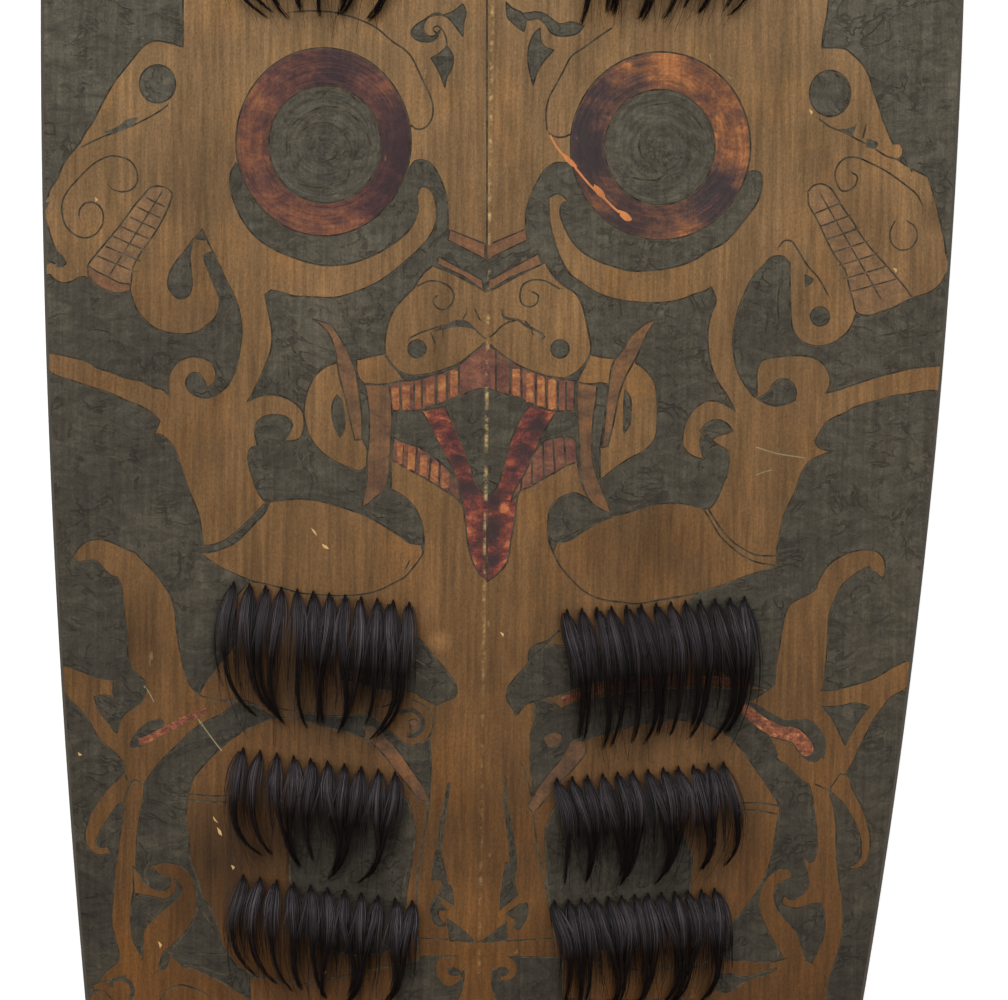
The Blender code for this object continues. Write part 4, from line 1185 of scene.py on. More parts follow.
def visible_runs():
    """The stretches of each line that no later paint covers, each with its groove's reach and depth.

    A line along the ridge isn't grooved.
    """
    runs = []
    for order, shape in enumerate(shapes):
        points = np.concatenate([shape.points, shape.points[:1]]) if shape.closed else shape.points
        shown = within_board(points, LINE_MARGIN)
        for later in shapes[order + 1:]:
            if later.closed:
                shown &= ~inside(later.points, points)
        state = np.where(shown, np.where(np.abs(points[:, 0]) < RIDGE_CLEAR, UNGROOVED, GROOVED), HIDDEN)
        breaks = [0, *(np.flatnonzero(np.diff(state)) + 1), len(points)]
        for start, stop in zip(breaks, breaks[1:]):
            if state[start] != HIDDEN and stop - start > 1:
                runs.append((points[start:stop], shape.groove if state[start] == GROOVED else 0, shape.depth))
    return runs


def tree_of(samples):
    tree = kdtree.KDTree(len(samples))
    for i, (x, y) in enumerate(samples):
        tree.insert((x, y, 0), i)
    tree.balance()
    return tree


def denser(points):
    """A line's points with three more between each two, for measuring distances."""
    parts = [points[:-1] + (points[1:] - points[:-1]) * share for share in (0.0, 0.25, 0.5, 0.75)]
    return np.concatenate([*parts, points[-1:]])


class Spaced:
    """Keeps points apart: a point is taken only where no taken point is nearer than the gap."""

    def __init__(self, gap):
        self.gap, self.cells = gap, {}

    def offer(self, point, gap=None):
        gap = gap or self.gap
        column, row = math.floor(point[0] / self.gap), math.floor(point[1] / self.gap)
        for i in (-1, 0, 1):
            for j in (-1, 0, 1):
                for x, y in self.cells.get((column + i, row + j), ()):
                    if math.hypot(x - point[0], y - point[1]) < gap:
                        return False
        self.cells.setdefault((column, row), []).append(point)
        return True


class Plan:
    """Points and lines for one triangulation, in the plane of the board."""

    def __init__(self):
        self.points, self.edges = [], []

    def add_line(self, points, closed=False):
        first = len(self.points)
        self.points += [tuple(p) for p in points]
        count = len(points)
        self.edges += [(first + i, first + i + 1) for i in range(count - 1)]
        if closed:
            self.edges.append((first + count - 1, first))
        return list(range(first, first + count))

    def triangulate(self):
        """The plane's points and triangles, and which of its points each given point became."""
        given = [Vector((x * MILLIMETRE, y * MILLIMETRE)) for x, y in self.points]
        made = geometry.delaunay_2d_cdt(given, self.edges, [], 1, MERGE_DISTANCE, True)
        places, _, faces, origins = made[:4]
        became = {old: new for new, olds in enumerate(origins) for old in olds}
        return np.array([tuple(p) for p in places]) / MILLIMETRE, np.array(faces), became


def rim_loops():
    """The board's loop just inside its edge and the same loop on its side.

    Both run from the foot up the right side and down the left.
    """
    stations = np.linspace(FOOT_TIP, HEAD_TIP, round(LENGTH / RIM_STEP))
    rim, side = [], []
    for sign, run in ((1, stations), (-1, stations[::-1])):
        for y in run:
            half = float(outline(y, sign))
            rim_y = max(FOOT_TIP + EDGE_CHAMFER, min(HEAD_TIP - EDGE_CHAMFER, y))
            rim.append((sign * (half - EDGE_CHAMFER), rim_y))
            side.append((sign * half, y))
        tip = sign * HEAD_TIP
        for share in (0.5, 0.0, -0.5):
            reach = float(outline(tip, sign)) * share * sign
            rim.append((reach, tip - sign * EDGE_CHAMFER))
            side.append((reach, tip))
    return rim, side


def lace_holes(y, stitches):
    low = -(outline(y, -1) - BAND_EDGE_MARGIN)
    high = outline(y, 1) - BAND_EDGE_MARGIN
    pitch = (high - low) / stitches
    reach = BAND_WIDTH / 2 + LACE_HOLE_OFFSET
    for i in range(stitches):
        middle = low + pitch * (i + 0.5)
        yield (middle - pitch / 4, y - reach), (middle + pitch / 4, y + reach)


def hole_loops():
    turns = [2 * math.pi * i / HOLE_SIDES for i in range(HOLE_SIDES)]
    circle = [(HOLE_RADIUS * math.cos(t), HOLE_RADIUS * math.sin(t)) for t in turns]
    places = [place for y, stitches in BANDS.values() for pair in lace_holes(y, stitches) for place in pair]
    return [[(x + across, y + along) for across, along in circle] for x, y in places]


def scattered(step, seed, stretch=1.0):
    """A jittered grid of places on the board."""
    draw = random.Random(seed)
    places = []
    for row in range(1, int(LENGTH / (step * stretch))):
        y = FOOT_TIP + row * step * stretch
        for column in range(int(2 * RIGHT_WIDEST / step) + 1):
            x = -RIGHT_WIDEST + (column + (row % 2) / 2) * step
            place = (x + draw.uniform(-JITTER, JITTER) * step, y + draw.uniform(-JITTER, JITTER) * step)
            places.append(place)
    return np.array(places)


def hand_carved(x, y, seed, depth):
    """The shallow unevenness of a surface worked by hand."""
    broad = noise.noise(Vector((x * 38, y * 17, seed)))
    tool = noise.noise(Vector((x * 120, y * 42, seed + 5)))
    return depth * (0.65 * broad + 0.35 * tool)


def groove_samples(runs):
    """A search tree of places along the lines, and how far and how deep the groove reaches at each."""
    samples, reaches, depths = [], [], []
    for points, groove, depth in runs:
        dense = denser(points)
        samples.append(dense)
        reaches += [groove] * len(dense)
        depths += [depth] * len(dense)
    return tree_of(np.concatenate(samples)), np.array(reaches), np.array(depths)


def background_spots(holes):
    """Places on the face away from the lines: rows along the ridge and a jittered grid elsewhere."""
    ridge_rows = [side * x for x in RIDGE_ROWS for side in ((1, -1) if x else (1,))]
    count = int((LENGTH - 2 * RIDGE_STEP) / RIDGE_STEP)
    spots = [(x, FOOT_TIP + RIDGE_STEP + RIDGE_STEP * i) for x in ridge_rows for i in range(count)]
    grid = scattered(BACKGROUND_STEP, GRID_SEED)
    spots += [tuple(p) for p in grid[np.abs(grid[:, 0]) > RIDGE_ROWS[-1] + RIDGE_MARGIN]]
    spots = np.array(spots)
    for loop in holes:
        spots = spots[~inside(np.array(loop), spots)]
    return spots[within_board(spots, GRID_MARGIN)]


def plan_face(rim, holes):
    """The face's points and lines in the plane, its loops' points, and its grooves."""
    plan = Plan()
    loops = [plan.add_line(loop, True) for loop in (rim, *holes)]
    runs = visible_runs()
    grooves = groove_samples(runs)
    tree, reaches, _ = grooves
    spaced = Spaced(POINT_GAP)
    for loop in holes:
        for point in loop:
            spaced.offer(point)
    for points, _, _ in runs:
        plan.points += [point for point in map(tuple, points) if spaced.offer(point)]
    for points, groove, _ in runs:
        for rail in rails(points, groove) if groove else ():
            for x, y in rail:
                _, nearest, distance = tree.find((x, y, 0))
                if distance > LEAST_RAIL_SHARE * reaches[nearest] and spaced.offer((x, y), RAIL_GAP):
                    plan.points.append((x, y))
    for x, y in background_spots(holes):
        if tree.find((x, y, 0))[2] > KEEP_CLEAR:
            plan.points.append((x, y))
    return plan, loops, grooves


def paint_faces(centres, tree, reaches):
    """The paint of each triangle of the face: the last area over it, and the dark line in each groove."""
    paint = np.zeros(len(centres), int)
    for shape in shapes:
        if shape.closed:
            paint[inside(shape.points, centres)] = PAINTS.index(shape.paint)
    for i, (x, y) in enumerate(centres):
        _, nearest, distance = tree.find((x, y, 0))
        if distance < reaches[nearest] * LINE_SHARE:
            paint[i] = PAINTS.index("line")
    return paint


def grip_sections():
    """The grip's sections from its head foot to its other foot: (y, z, tilt, half across, half deep)."""
    bar_z = GRIP_FLOOR_GAP + GRIP_BAR_DEPTH / 2
    foot_y = GRIP_SPAN / 2
    foot_z = float(back_z(0, GRIP_AT)) + GRIP_ROOT
    arc_top = bar_z + GRIP_CORNER_RADIUS
    upright = math.pi / 2
    half_path = [(foot_y, foot_z + (arc_top - foot_z) * i / GRIP_STEPS, upright) for i in range(GRIP_STEPS)]
    for i in range(GRIP_STEPS + 1):
        turn = upright * i / GRIP_STEPS
        y = foot_y - GRIP_CORNER_RADIUS * (1 - math.cos(turn))
        half_path.append((y, arc_top - GRIP_CORNER_RADIUS * math.sin(turn), upright - turn))
    inner_y = foot_y - GRIP_CORNER_RADIUS
    half_path += [(inner_y * (1 - i / GRIP_BAR_STEPS), bar_z, 0.0) for i in range(1, GRIP_BAR_STEPS)]
    sections = []
    for y, z, tilt in half_path:
        flare = max(0.0, 1 - (foot_z - z) / GRIP_FLARE) ** GRIP_FLARE_POWER
        across = (GRIP_BAR_WIDTH + (GRIP_FOOT_WIDTH - GRIP_BAR_WIDTH) * flare) / 2
        deep = (GRIP_BAR_DEPTH + (GRIP_FOOT_LENGTH - GRIP_BAR_DEPTH) * flare) / 2
        sections.append((y, z, tilt, across, deep))
    return sections + [(-y, z, -tilt, across, deep) for y, z, tilt, across, deep in reversed(sections[:-1])]


def grip_ring(section):
    y, z, tilt, across, deep = section
    ring = []
    for i in range(GRIP_SIDES):
        angle = 2 * math.pi * i / GRIP_SIDES
        out = deep * math.sin(angle)
        ring.append((across * math.cos(angle), GRIP_AT + y + out * math.sin(tilt), z - out * math.cos(tilt)))
    return ring


def grip_foot(sections):
    """Where a foot of the grip comes out of the hollow: a loop of places found down its first sections."""
    rings = [grip_ring(section) for section in sections[:GRIP_STEPS]]
    loop = []
    for i in range(GRIP_SIDES):
        column = [ring[i] for ring in rings]
        for high, low in zip(column, column[1:]):
            over, under = (p[2] - back_z(p[0], p[1]) for p in (high, low))
            if under <= 0:
                share = over / (over - under) if over > 0 else 0.0
                loop.append(tuple(a + (b - a) * share for a, b in zip(high, low))[:2])
                break
    return loop


def plan_back(loops):
    """The hollow's points and lines in the plane, and the points of its rim, holes and grip feet."""
    plan = Plan()
    ids = [plan.add_line(loop, True) for loop in loops]
    spots = scattered(BACK_STEP, BACK_GRID_SEED, BACK_STRETCH)
    spots = spots[within_board(spots, BACK_MARGIN)]
    for loop in loops[1:]:
        middle = np.mean(loop, 0)
        spots = spots[~inside((np.array(loop) - middle) * LOOP_GROWTH + middle, spots)]
    plan.points += [tuple(p) for p in spots]
    return plan, ids


class Builder:
    """Collects points, faces and paints for one mesh."""

    def __init__(self):
        self.points, self.faces, self.paints = [], [], []

    def add_points(self, points):
        first = len(self.points)
        self.points += [tuple(float(c) for c in p) for p in points]
        return list(range(first, first + len(points)))

    def add_faces(self, faces, paint):
        paints = paint if isinstance(paint, (list, np.ndarray)) else [paint] * len(faces)
        self.faces += [tuple(int(i) for i in face) for face in faces]
        self.paints += [int(p) for p in paints]

    def strip(self, low, high, paint):
        """A band of faces between two closed loops of as many points."""
        after = [*range(1, len(low)), 0]
        self.add_faces([(low[i], low[j], high[j], high[i]) for i, j in enumerate(after)], paint)

    def mesh(self, name, sharp=None):
        mesh = bpy.data.meshes.new(name)
        mesh.from_pydata(self.points, [], self.faces)
        mesh.polygons.foreach_set("material_index", np.array(self.paints, np.int32))
        mesh.polygons.foreach_set("use_smooth", np.ones(len(self.faces), bool))
        if sharp is not None:
            mesh.set_sharp_from_angle(angle=sharp)
        mesh.validate()
        return mesh


def without(faces, places, loops):
    """The faces that lie in none of these loops."""
    centres = places[faces].mean(1)
    keep = np.ones(len(faces), bool)
    for loop in loops:
        keep &= ~inside(np.array(loop), centres)
    return faces[keep]


def build_face(build, rim, holes):
    """Adds the carved and painted face, and gives its points round the rim and the holes."""
    plan, loops, (tree, reaches, depths) = plan_face(rim, holes)
    places, faces, became = plan.triangulate()
    faces = without(faces, places, holes)
    fixed = {became[i] for ids in loops for i in ids}
    heights = []
    for i, (x, y) in enumerate(places):
        z = float(face_z(x, y))
        if i not in fixed:
            _, nearest, distance = tree.find((x, y, 0))
            reach = reaches[nearest]
            sunk = depths[nearest] * max(0.0, 1 - distance / reach) if reach else 0.0
            z += hand_carved(x, y, *FACE_CARVING) - sunk
        heights.append(z)
    points = build.add_points(np.column_stack([places, heights]))
    build.add_faces(faces, paint_faces(places[faces].mean(1), tree, reaches))
    return [[points[became[i]] for i in ids] for ids in loops]


def build_back(build, rim, holes, feet):
    """Adds the hollow back, and gives its points round the rim, the holes and the grip's feet."""
    plan, loops = plan_back([rim, *holes, *feet])
    places, faces, became = plan.triangulate()
    faces = without(faces, places, holes + feet)
    fixed = {became[i] for ids in loops for i in ids}
    heights = []
    for i, (x, y) in enumerate(places):
        z = float(back_z(x, y))
        if i not in fixed and z > CARVED_ABOVE:
            z += hand_carved(x, y, *BACK_CARVING)
        heights.append(max(0.0, z))
    points = build.add_points(np.column_stack([places, heights]))
    build.add_faces(faces[:, ::-1] + points[0], PAINTS.index("back"))
    return [[points[became[i]] for i in ids] for ids in loops]


def build_grip(build, sections, head_foot, other_foot):
    """Adds the grip's skin from the loop of one foot to the loop of the other."""
    back = PAINTS.index("back")
    previous = head_foot
    for section in sections[GRIP_STEPS:-GRIP_STEPS]:
        ring = build.add_points(grip_ring(section))
        build.strip(ring, previous, back)
        previous = ring
    build.strip(other_foot, previous, back)


def build_board(materials):
    draw_design()
    rim, side = rim_loops()
    holes = hole_loops()
    sections = grip_sections()
    feet = [grip_foot(sections), grip_foot(sections[::-1])]
    build = Builder()
    face_rim, *face_holes = build_face(build, rim, holes)
    back_rim, *back_loops = build_back(build, rim, holes, feet)
    upper = build.add_points([(x, y, face_z(*inner) - EDGE_CHAMFER) for (x, y), inner in zip(side, rim)])
    lower = build.add_points([(x, y, back_z(*inner) + EDGE_CHAMFER) for (x, y), inner in zip(side, rim)])
    for low, high in ((upper, face_rim), (lower, upper), (back_rim, lower)):
        build.strip(low, high, PAINTS.index("edge"))
    for face_hole, back_hole in zip(face_holes, back_loops):
        build.strip(face_hole, back_hole, PAINTS.index("line"))
    build_grip(build, sections, *back_loops[len(holes):])
    board = bpy.data.objects.new("carved_board", build.mesh("carved_board", BOARD_SHARP_ANGLE))
    for paint in PAINTS:
        board.data.materials.append(materials[paint])
    finish_piece(board, "shield_board")


def finish_piece(obj, node):
    obj.location.x = RIDGE_X
    bpy.context.scene.collection.objects.link(obj)
    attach(obj, "root")
    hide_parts(node)


# The hair

CURTAIN_HAIRS = 74
LEAST_CURTAIN = 0.6
LOCK_HAIRS = 46
STATIONS = 10
HAIR_SIDES = 3
REACH = {"brow": 0.066, "jaw": 0.078, "breast": 0.062, "belly": 0.062}
HAIR_SEED = 100
THINNEST_HAIR = 0.00010
THICKEST_HAIR = 0.00021
# How many neighbouring tufts' locks draw together
GROUPS = (1, 1, 2, 2, 3)
# A random wave starts anywhere up to here, in radians
PHASE = 6.3
# The hairs' height over the face at the root and at the highest part of their arch
ROOT_HEIGHT = 0.0007
CROWN = 0.0058
# Where down a tuft its hook starts, and how sharply it bends
HOOK_FROM = 0.55
HOOK_POWER = 2.2
# How far the right side's locks sweep outwards and hook back, and how much more the outer ones do
RIGHT_SWEEP = 0.0062
RIGHT_HOOK = 0.0080
RIGHT_OUTER_HOOK = 0.0050
# How far the left side's outer tufts bulge, and how all of them hook and drift towards the row's middle
LEFT_BULGE = 0.0085
LEFT_BULGE_FROM = 0.3
LEFT_HOOK = 0.003
LEFT_HOOK_SHARE = 0.26
LEFT_DRIFT_SHARE = 0.10
# How far a lock and a curtain draw towards the place where neighbouring locks meet
LOCK_GATHERED = 0.7
CURTAIN_GATHERED = 0.2
HAIR_WANDER = 0.0006
TUFT_WANDER = 0.0007
STRAY_HAIRS = 3
# The rings of the plug that holds a tuft: how far towards the head each is, and its radius
PLUG_RINGS = ((0.0018, 0.0002), (0.0004, 0.0008), (-0.0014, 0.0012), (-0.0032, 0.0012), (-0.0050, 0.0005))
PLUG_SIDES = 8
PLUG_HEIGHT = 0.0008
# How far the hairs of a tuft's curtain and of its lock stand out at shares of the way down
DOWN_AT = (0.0, 0.05, 0.14, 0.35, 0.60, 1.0)
CURTAIN_WIDTH = (0.0010, 0.0030, 0.0046, 0.0052, 0.0052, 0.0048)
LOCK_WIDTH = (0.0007, 0.0015, 0.0018, 0.0015, 0.0010, 0.0004)


def row_roots(count, first, last):
    for i in range(count):
        share = i / (count - 1)
        yield tuple(a + (b - a) * share for a, b in zip(first, last))


def lifted(x, y, height):
    """Points over the face at this height, for arrays of places."""
    return np.stack([x, y, face_z(x, y) + height], -1)


def side_flow(x, sign, middle, half, lean, down):
    """How far a tuft's hairs swing to the right on their way down, which differs between the two sides."""
    hook = np.clip((down - HOOK_FROM) / (1 - HOOK_FROM), 0, 1) ** HOOK_POWER
    if sign > 0:
        outer = (x - middle) / half
        sweep_out = (RIGHT_SWEEP + lean) * np.sin(np.pi / 2 * np.minimum(1, down / 0.42))
        return sweep_out - (RIGHT_HOOK + RIGHT_OUTER_HOOK * outer) * hook
    inward = middle - x
    outer = max(0.0, inward / half - LEFT_BULGE_FROM)
    bulge = (lean - LEFT_BULGE * outer) * np.sin(np.pi * np.minimum(1, down * 1.1))
    hooked = (LEFT_HOOK_SHARE * inward + math.copysign(LEFT_HOOK, inward)) * hook
    return bulge + hooked + LEFT_DRIFT_SHARE * inward * down


def tuft_paths(x, y, sign, middle, half, meet, reach, draw):
    """The centre lines of one tuft's hairs, how far down each point is, and how bright each hair's painted
    sheen is.

    A short see-through curtain of hairs hangs over a long hooked lock.
    """
    curtain = int(CURTAIN_HAIRS * draw.uniform(LEAST_CURTAIN, 1.0))
    count = curtain + LOCK_HAIRS
    each = (count, 1)
    in_lock = (np.arange(count) >= curtain)[:, None]
    lock_ends = draw.uniform(0.84, 1.0) * draw.power(12, each)
    curtain_ends = 0.22 + 0.52 * draw.uniform(0, 1, each) ** 1.3
    down = np.where(in_lock, lock_ends, curtain_ends) * np.linspace(0, 1, STATIONS)[None, :]
    width = np.where(in_lock, np.interp(down, DOWN_AT, LOCK_WIDTH), np.interp(down, DOWN_AT, CURTAIN_WIDTH))
    lock_spread = np.clip(draw.normal(0, 0.55, each), -1.2, 1.2)
    spread = np.where(in_lock, lock_spread, draw.uniform(-1, 1, each))
    flow = side_flow(x, sign, middle, half, draw.uniform(-0.0014, 0.0014), down)
    gathering = np.where(in_lock, LOCK_GATHERED, CURTAIN_GATHERED)
    gathered = (meet - x) * np.clip((down - 0.18) / 0.42, 0, 1) * gathering
    wander = draw.normal(0, HAIR_WANDER, each) * np.sin(np.pi * down * 1.3 + draw.uniform(0, 2, each))
    wander += TUFT_WANDER * np.sin(2 * np.pi * down * 1.1 + draw.uniform(0, PHASE))
    across = x + flow + gathered + spread * width + wander
    along = y - 0.0004 - reach * (down - 0.10 * down**4)
    crown = CROWN * np.sin(np.pi * np.minimum(1, 0.10 + down * 0.88)) ** 0.8
    height = ROOT_HEIGHT + crown * (0.45 + 0.75 * draw.uniform(0, 1, each)) * np.where(in_lock, 1.0, 0.8)
    # Each hair's painted sheen, dimmed to painted shade on the tuft's outer hairs
    strands = np.sin(spread * draw.uniform(3, 7) + draw.uniform(0, PHASE))
    painted_sheen = 0.5 + 0.5 * strands * draw.uniform(-0.3, 1.0, each)
    painted_sheen *= np.where(np.abs(spread) > 0.75, 0.35, 1.0)
    return lifted(across, along, height), down, painted_sheen[:, 0]


def stray_paths(x, y, sign, middle, reach, draw):
    """A few long hairs that leave the tuft and cross the paint."""
    each = (STRAY_HAIRS, 1)
    down = draw.uniform(0.80, 1.0, each) * np.linspace(0, 1, STATIONS)[None, :]
    bend = draw.uniform(-0.010, 0.010, each)
    across = x + sign * 0.007 * np.sin(np.pi * down * 0.8) + bend * down**2 + (middle - x) * 0.2 * down**3
    height = 0.0008 + 0.006 * np.sin(np.pi * np.minimum(1, down + 0.05))
    return lifted(across, y - reach * down, height), down, np.full(STRAY_HAIRS, 0.5)


def tubes(paths, down, thick):
    """Closed three-sided tapering tubes round these lines: points, faces and how far down each point is."""
    count, stations, _ = paths.shape
    ahead = np.gradient(paths, axis=1)
    ahead /= np.maximum(1e-9, np.linalg.norm(ahead, axis=2, keepdims=True))
    aside = np.cross(ahead, np.array([0, 0, 1.0]))
    aside /= np.maximum(1e-9, np.linalg.norm(aside, axis=2, keepdims=True))
    up = np.cross(aside, ahead)
    taper = thick[:, None] * (0.25 + 0.75 * np.sin(np.pi * np.linspace(0.12, 0.92, stations)))
    rings = []
    for i in range(HAIR_SIDES):
        turn = 2 * math.pi * i / HAIR_SIDES
        rings.append(paths + (aside * math.cos(turn) + up * math.sin(turn)) * taper[:, :, None])
    points = np.stack(rings, 2).reshape(-1, 3)
    base = np.arange(count)[:, None, None] * stations * HAIR_SIDES
    ring = np.arange(stations - 1)[None, :, None] * HAIR_SIDES
    corner = np.arange(HAIR_SIDES)[None, None, :]
    after = (corner + 1) % HAIR_SIDES
    low, high = base + ring, base + ring + HAIR_SIDES
    quads = np.stack([low + corner, high + corner, high + after, low + after], -1).reshape(-1, 4)
    starts = base.reshape(-1, 1)
    ends = starts + (stations - 1) * HAIR_SIDES
    caps = np.concatenate([starts + np.array([[0, 1, 2]]), ends + np.array([[2, 1, 0]])])
    return points, quads, caps, np.repeat(down.reshape(-1), HAIR_SIDES)


def root_plug(build, x, y):
    """Adds the dark pointed plug that holds a tuft in its socket, and gives how many points it has."""
    rings = []
    for along, radius in PLUG_RINGS:
        ring = []
        for i in range(PLUG_SIDES):
            turn = 2 * math.pi * i / PLUG_SIDES
            place_x, place_y = x + radius * math.cos(turn), y + along
            z = float(face_z(place_x, place_y)) + PLUG_HEIGHT + radius * (0.7 + math.sin(turn))
            ring.append((place_x, place_y, z))
        rings.append(build.add_points(ring))
    for low, high in zip(rings, rings[1:]):
        build.strip(low, high, 0)
    build.add_faces([tuple(reversed(rings[0])), tuple(rings[-1])], 0)
    return len(PLUG_RINGS) * PLUG_SIDES


def meeting_places(roots, draw):
    """Where the locks of neighbouring tufts draw together: one place across for each tuft."""
    meets = []
    while len(meets) < len(roots):
        group = roots[len(meets):len(meets) + int(draw.choice(GROUPS))]
        meets += [sum(x for x, _ in group) / len(group)] * len(group)
    return meets


def build_hair(name, count, first, last, seed, material):
    sign = 1 if first[0] > 0 else -1
    middle, half = (first[0] + last[0]) / 2, abs(last[0] - first[0]) / 2
    reach = REACH[name.split("_")[0]]
    draw = np.random.default_rng(seed)
    build = Builder()
    shares, painted_sheens = [], []
    roots = list(row_roots(count, first, last))
    for (x, y), meet in zip(roots, meeting_places(roots, draw)):
        tuft = tuft_paths(x, y, sign, middle, half, meet, reach, draw)
        strays = stray_paths(x, y, sign, middle, reach, draw)
        for paths, down, painted_sheen in (tuft, strays):
            thick = draw.uniform(THINNEST_HAIR, THICKEST_HAIR, len(paths))
            points, quads, caps, share = tubes(paths, down, thick)
            first_point = build.add_points(points)[0]
            build.add_faces(quads + first_point, 0)
            build.add_faces(caps + first_point, 0)
            shares.append(share)
            painted_sheens.append(np.repeat(painted_sheen, STATIONS * HAIR_SIDES))
        plug_points = root_plug(build, x, y)
        shares.append(np.ones(plug_points))
        painted_sheens.append(np.zeros(plug_points))
    row = bpy.data.objects.new(f"hair_{name}", build.mesh(f"hair_{name}"))
    for attribute, values in (("down", shares), ("painted_sheen", painted_sheens)):
        layer = row.data.attributes.new(attribute, "FLOAT", "POINT")
        layer.data.foreach_set("value", np.concatenate(values).astype(np.float32))
    row.data.materials.append(material)
    finish_piece(row, f"hair_row_{name}")


# The rattan bands

CANE_STEP = 0.004
CANE_RIBS = 3
CANE_PROFILE = 13
CANE_END_SHARE = 0.55
CANE_END_STEPS = 2
CANE_FOOT_SHARE = 0.9
CANE_GROOVE_SHARE = 0.55
CANE_SHARP_ANGLE = math.radians(40)
# A cane's nodes: the stations between them, the first one's place, their swell and how far it reaches
NODE_EVERY = 17
NODE_FIRST = 8
NODE_SWELL = 0.05
NODE_REACH = 1.5
LACE_SWELL = 1.1
LACE_SIDES = 10
LACE_STEP = 0.0036
LACE_BEND = 0.0016
LACE_STRANDS = 3
LACE_RELIEF = 0.07
LACE_TWIST = 0.22
LACE_SHARP_ANGLE = math.radians(50)
BEND_SHARES = (0.0, 0.33, 0.67, 1.0)


def cane_section(i, count):
    """A cane's section at its station i: how far across the cane and how high each of its points is."""
    end = min(1.0, CANE_END_SHARE + (1 - CANE_END_SHARE) * min(i, count - i) / CANE_END_STEPS)
    node = 1 + NODE_SWELL * max(0.0, 1 - abs(i % NODE_EVERY - NODE_FIRST) / NODE_REACH)
    section = []
    for j in range(CANE_PROFILE):
        across = -1 + 2 * j / (CANE_PROFILE - 1)
        rib = abs(math.sin(math.pi * CANE_RIBS * (across + 1) / 2))
        up = BAND_THICKNESS * (CANE_GROOVE_SHARE + (1 - CANE_GROOVE_SHARE) * rib) * node
        section.append((across * BAND_WIDTH / 2 * end * node, up))
    foot = CANE_FOOT_SHARE * BAND_WIDTH / 2 * end
    return section + [(foot, 0.0), (-foot, 0.0)]


def build_cane(name, y, in_front, material):
    """A split cane with rounded ribs, lying on the face or in the hollow."""
    low = -(float(outline(y, -1)) - BAND_EDGE_MARGIN)
    high = float(outline(y, 1)) - BAND_EDGE_MARGIN
    count = round((high - low) / CANE_STEP)
    build = Builder()
    rings = []
    for i in range(count + 1):
        x = low + (high - low) * i / count
        section = cane_section(i, count)
        if in_front:
            points = [(x, y + across, float(face_z(x, y)) + FIT_GAP + up) for across, up in section]
        else:
            points = [(x, y + across, float(back_z(x, y)) - FIT_GAP - up) for across, up in section]
        rings.append(build.add_points(points))
    for before, after in zip(rings, rings[1:]):
        build.strip(*((before, after) if in_front else (after, before)), 0)
    ends = [tuple(rings[0]), tuple(reversed(rings[-1]))]
    build.add_faces(ends if in_front else [tuple(reversed(face)) for face in ends], 0)
    cane = bpy.data.objects.new(name, build.mesh(name, CANE_SHARP_ANGLE))
    cane.data.materials.append(material)
    return cane


def lace_points(y, stitches):
    """The lacing's corners: up through a hole, over the band, down through the next and on behind it."""
    proud = FIT_GAP + LACE_RADIUS * LACE_SWELL
    over_band = BAND_THICKNESS + FIT_GAP + proud
    bend = (BAND_WIDTH / 2 + LACE_RADIUS) / (BAND_WIDTH / 2 + LACE_HOLE_OFFSET)
    points = []
    holes = list(lace_holes(y, stitches))
    for i, (below, above) in enumerate(holes):
        points.append((*below, back_z(*below) - proud))
        points.append((*below, face_z(*below) + proud))
        for share in (-bend, bend):
            x = (below[0] + above[0]) / 2 + share * (above[0] - below[0]) / 2
            across_y = y + share * (above[1] - y)
            points.append((x, across_y, face_z(x, across_y) + over_band))
        points.append((*above, face_z(*above) + proud))
        points.append((*above, back_z(*above) - proud))
        if i + 1 < len(holes):
            onward = holes[i + 1][0]
            for share in (-bend, bend):
                x = (above[0] + onward[0]) / 2 + share * (onward[0] - above[0]) / 2
                across_y = y - share * (above[1] - y)
                points.append((x, across_y, back_z(x, across_y) - over_band))
    return [Vector(p) for p in points]


def softened(corners):
    """A path through these corners, each of which is rounded off."""
    path = [corners[0]]
    for before, at, after in zip(corners, corners[1:], corners[2:]):
        into, out_of = at - before, after - at
        soften = min(LACE_BEND, into.length / 3, out_of.length / 3)
        start, end = at - into.normalized() * soften, at + out_of.normalized() * soften
        straight = max(1, round((start - path[-1]).length / LACE_STEP))
        path += [path[-1].lerp(start, i / straight) for i in range(1, straight)]
        path += [start.lerp(at, s).lerp(at.lerp(end, s), s) for s in BEND_SHARES]
    return path + [corners[-1]]


def build_lacing(name, y, stitches, material):
    """The lacing, a twisted strip of cane."""
    path = softened(lace_points(y, stitches))
    build = Builder()
    rings = []
    across = Vector((1, 0, 0))
    for i, place in enumerate(path):
        ahead = (path[min(i + 1, len(path) - 1)] - path[max(i - 1, 0)]).normalized()
        across = (across - ahead * across.dot(ahead)).normalized()
        up = across.cross(ahead)
        twist = LACE_TWIST * (i + 1)
        ring = []
        for j in range(LACE_SIDES):
            turn = 2 * math.pi * j / LACE_SIDES
            radius = LACE_RADIUS * (1 - LACE_RELIEF + LACE_RELIEF * math.cos(LACE_STRANDS * turn + twist))
            ring.append(place + (across * math.cos(turn) + up * math.sin(turn)) * radius)
        rings.append(build.add_points(ring))
    for before, after in zip(rings, rings[1:]):
        build.strip(after, before, 0)
    build.add_faces([tuple(reversed(rings[0])), tuple(rings[-1])], 0)
    lacing = bpy.data.objects.new(name, build.mesh(name, LACE_SHARP_ANGLE))
    lacing.data.materials.append(material)
    return lacing


# The glazes of the painted areas, with their darker and brighter spots

